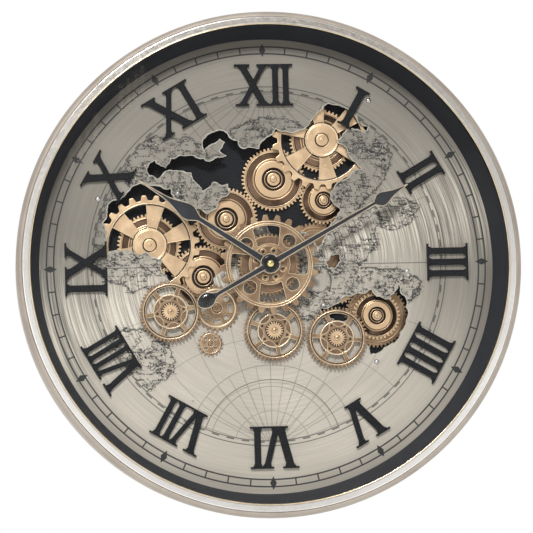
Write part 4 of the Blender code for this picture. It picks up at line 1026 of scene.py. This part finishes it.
def build_centre_coarse_wheel():
    node = Node("centre_coarse_wheel")
    top = node.top
    pin_circle = 16.4
    openings = []
    for i in range(4):
        middle = CENTRE_WINDOWS_AT + i * QUARTER
        openings.append(softened(sector(24.4, 46.6, middle, math.radians(62), math.radians(42)), 2.6))
        openings.append(circle(8.2, 40, polar(36.2, middle + QUARTER / 2)))
    holes = [circle(5.5, 40), *openings]
    phase = node.phase(COARSE_TEETH)
    disc = toothed(COARSE_TEETH, 52.4, 59, phase, node.bottom, top, holes=holes, **COARSE_SHAPE)
    hub = turned(rounded([
        (6, top + 0.3), (20.4, top + 0.3), (20.8, top + 1.0), (22.4, top + 1.0), (22.9, top + 0.3),
        (22.9, top - 0.2), (6, top - 0.2),
    ], 0.3), 80)
    ring = [(1.6, 0.3), (2.2, 1.0), (3.5, 1.0), (4.3, 0.5), (4.4, 0.2), (1.6, 0.2)]
    pads = []
    for i in range(8):
        pad = turned(rounded(ring, 0.3), 24)
        pads.append(moved(pad, *polar(pin_circle, CENTRE_WINDOWS_AT + (i + 0.5) * TURN / 8), top))
    whole = together(disc, hub, *pads)
    show("centre_coarse_gear", whole, "bronze", "case", "brass", "centre_coarse_wheel")
    # Painted highlight on the windows' beads and the two rim ridges.
    trims = [bead(openings, 0.6, top), ridge(47.7, 49.0, top, 0.75, 120), ridge(50.4, 51.8, top, 0.75, 120)]
    show("centre_coarse_trim", together(*trims), "painted_highlight_brass", "case", "brass")
    # The hub's floor in painted shade.
    floor = flat_ring(6, 20.5, top + 0.2, top + 0.42, 80)
    show("centre_hub_floor", floor, "painted_shade_brass", "case", "brass")
    pins = studs(8, pin_circle, 1.8, 0.5, top + 0.4, CENTRE_WINDOWS_AT + TURN / 16)
    show("centre_hub_pins", pins, "gloss_black", "case", "gunmetal")


def ribbed_wheel(name):
    """A fixed six-spoked wheel: a rim line, a star plate over a hollow in painted shade, a pinion with a domed
    end.
    """
    node = Node(name)
    at = math.radians(RIBS_AT[name])
    low = node.bottom + 4.5
    high = low + FINE_DISC
    star_top = high + 0.95
    openings = [softened(window, 1.6) for window in windows(6, 20.4, 29.6, at, 4.6)]
    disc = toothed(FINE_TEETH, 33.7, 36.9, at, low, high, 0.25, openings)
    turns = [TURN * i / 180 for i in range(180)]
    star = [polar(13.6 + 5.6 * abs(math.cos(3 * turn)) ** 4, at + turn) for turn in turns]
    cover = plate([star], high - 0.3, star_top, 0.3)
    dome = turned(rounded([
        (0, node.top + 1.4), (2.0, node.top + 1.1), (3.4, node.top + 0.2), (3.9, high + 1), (5.2, low),
        (8, low - 0.3), (8, node.bottom), (0, node.bottom),
    ], 0.8), 40)
    show_on(node, f"{name}_gear", [disc, cover, dome], "bronze", "case", name)
    pinion = toothed(PINION_TEETH, 7.6, 10.4, at, high, high + 2.0, 0.2)
    show_on(node, f"{name}_pinion", [pinion], "gilt", "case")
    # Trims in a painted highlight: the windows' beads, the rim and hub ridges and the star's edge.
    trims = [
        bead(openings, 0.42, high), ridge(31.6, 33.0, high, 0.9), ridge(18.9, 20.5, high, 0.55, 80),
        bead([star], 0.5, star_top - 0.1),
    ]
    show_on(node, f"{name}_trim", trims, "painted_highlight_brass", "case")
    # A hollow in painted shade under the star plate.
    hollow = flat_ring(6, 18.9, high - 0.2, high + 0.25, 80)
    show_on(node, f"{name}_hollow", [hollow], "painted_shade_brass", "case")
    # Painted shade: dark dots on the star plate, a dark ring round the pinion and a dark line inside the rim.
    dark = [
        studs(6, 15.8, 1.5, 0.45, star_top, at), ridge(7.0, 11.3, star_top, 0.1),
        ridge(30.3, 31.3, high, 0.1),
    ]
    show_on(node, f"{name}_gaps", dark, "painted_shade_brown", "case")


def small_wheel(name, piece, teeth, root, tip, holes, ring, hub):
    """A fixed wheel with holes, a raised ring inside its teeth and a cap in a seat of painted shade."""
    node = Node(name)
    top, high = node.top, node.bottom + 2.8
    disc = toothed(teeth, root, tip, 0, node.bottom, high, 0.25, holes)
    cap_radius = hub * 0.72
    cap = [(0, top), (hub * 0.62, top), (cap_radius, top - 0.7), (cap_radius, high - 0.3), (0, high - 0.3)]
    show_on(node, piece, [disc, turned(rounded(cap, 0.4), 40)], "bronze", "case", name)
    # Trims in a painted highlight: the holes' beads, the ring and the ring round the cap's seat.
    trims = [bead(holes, 0.35, high), ridge(*ring, high, 0.55, 80), ridge(hub, hub + 1.1, high, 0.5, 40)]
    show_on(node, f"{piece}_trim", trims, "painted_highlight_brass", "case")
    # The cap's seat in painted shade.
    seat = flat_ring(1, hub, high - 0.2, high + 0.2, 40)
    show_on(node, f"{piece}_seat", [seat], "painted_shade_brass", "case")


def build_front_wheels():
    build_centre_fine_wheel()
    build_centre_coarse_wheel()
    for name in RIBS_AT:
        ribbed_wheel(name)
    holes = [circle(3.4, 28, polar(15.8, QUARTER * (i + 0.5))) for i in range(4)]
    slot_angle = QUARTER * 0.44
    holes += [softened(sector(13.2, 18.6, QUARTER * i, slot_angle, slot_angle), 1.2) for i in range(4)]
    small_wheel("pierced_wheel", "pierced_gear", 28, 24.8, 27.6, holes, (21.2, 23.4), 6.0)
    holes = [circle(2.2, 24, polar(8.2, QUARTER * (i + 0.5))) for i in range(4)]
    small_wheel("little_wheel", "little_gear", 18, 12.4, 15.0, holes, (11.2, 12.2), 3.6)


def paint_cad():
    """Finishes for the CAD nodes, some of which stay in view."""
    slots = {entry["node"]: entry["material_slot"] for entry in frame["record"]["subparts"]}
    for name, node in frame["nodes"].items():
        node.data.materials.clear()
        node.data.materials.append(FINISH[slots[name]])


def light(name, size, power, place, colour=(1, 1, 1)):
    """An area lamp that faces the dial's middle, its place in metres from there."""
    data = bpy.data.lights.new(name, "AREA")
    data.shape = "RECTANGLE"
    data.size, data.size_y = size
    data.energy = power
    data.color = colour
    lamp = bpy.data.objects.new(name, data)
    scene.collection.objects.link(lamp)
    lamp.location = Vector(place) + AXIS
    lamp.rotation_euler = (-Vector(place)).to_track_quat("-Z", "Y").to_euler()


def build_studio():
    """A room brightest below and to the sides, brown where it is dark, on a white ground, with a high key."""
    world = bpy.data.worlds.new("studio")
    scene.world = world
    world.use_nodes = True
    world.node_tree.nodes.clear()
    graph = Graph(world.node_tree)
    place = graph.add("ShaderNodeTexCoord", output="Generated")
    across = graph.add("ShaderNodeSeparateXYZ", {"Vector": place})
    up = across.output("Z")
    ahead = across.output("Y") * -1
    aside = abs(across - 0.1).fade(0.04, 0.13, 1.0, 1.65)
    height = up.fade(-0.05, 0.2, 1.05, 0.42) + up.fade(0.4, 0.7, 0.0, 0.38)
    level = ahead.fade(0.4, 0.97, 0.58, 0.68) * height * aside
    room = mixed(graph, level.fade(0.2, 0.85), (0.9, 0.8, 0.7, 1), (1, 1, 1, 1))
    path = graph.add("ShaderNodeLightPath", output="Is Camera Ray")
    strength = level * (1 - path.output("Is Diffuse Ray") * 0.85)
    lit = graph.add("ShaderNodeBackground", {"Color": room, "Strength": strength})
    white = graph.add("ShaderNodeBackground", {"Color": (1, 1, 1, 1), "Strength": 1.0})
    mirrored = path.output("Is Glossy Ray").math("MAXIMUM", path.output("Is Transmission Ray"))
    seen = path.math("MAXIMUM", mirrored * ahead.fade(-0.4, -0.1, 1.0, 0.0))
    both = graph.add("ShaderNodeMixShader", {0: seen, 1: lit, 2: white})
    graph.add("ShaderNodeOutputWorld", {"Surface": both})
    light("key", (1.1, 1.1), 195, (-0.9, -5.4, 3.24))
    light("side", (0.5, 0.9), 2, (-1.1, -1.9, 0.15))
    light("floor", (2.0, 1.0), 1.5, (0.2, -1.5, -1.2))
    for x, z, step_x, step_z in ((-0.19, 0.3, 0.015, 0.021), (-0.098, 0.414, 0.013, 0.011)):
        for i in range(4):
            place = (x + step_x * i, -1.58, z + step_z * i)
            light("window_pane", (0.008, 0.05), 0.004, place, (1, 0.88, 0.66))


def build_camera():
    data = bpy.data.cameras.new("photo")
    camera = bpy.data.objects.new("photo", data)
    scene.collection.objects.link(camera)
    rim = Vector((AXIS.x, RIM_FRONT, AXIS.z))
    camera.location = rim + CAMERA_OFFSET
    aim = (CAMERA_AIM - CAMERA_OFFSET).to_track_quat("-Z", "Y")
    camera.rotation_euler = (aim @ Quaternion((0, 0, 1), CAMERA_ROLL)).to_euler()
    data.sensor_width = 36
    data.lens = CAMERA_LENS
    data.dof.use_dof = False
    scene.camera = camera


paint_cad()
build_case()
build_dial()
build_numerals()
build_hands()
build_train()
build_front_wheels()
build_studio()
build_camera()
scene.view_settings.view_transform = "Standard"
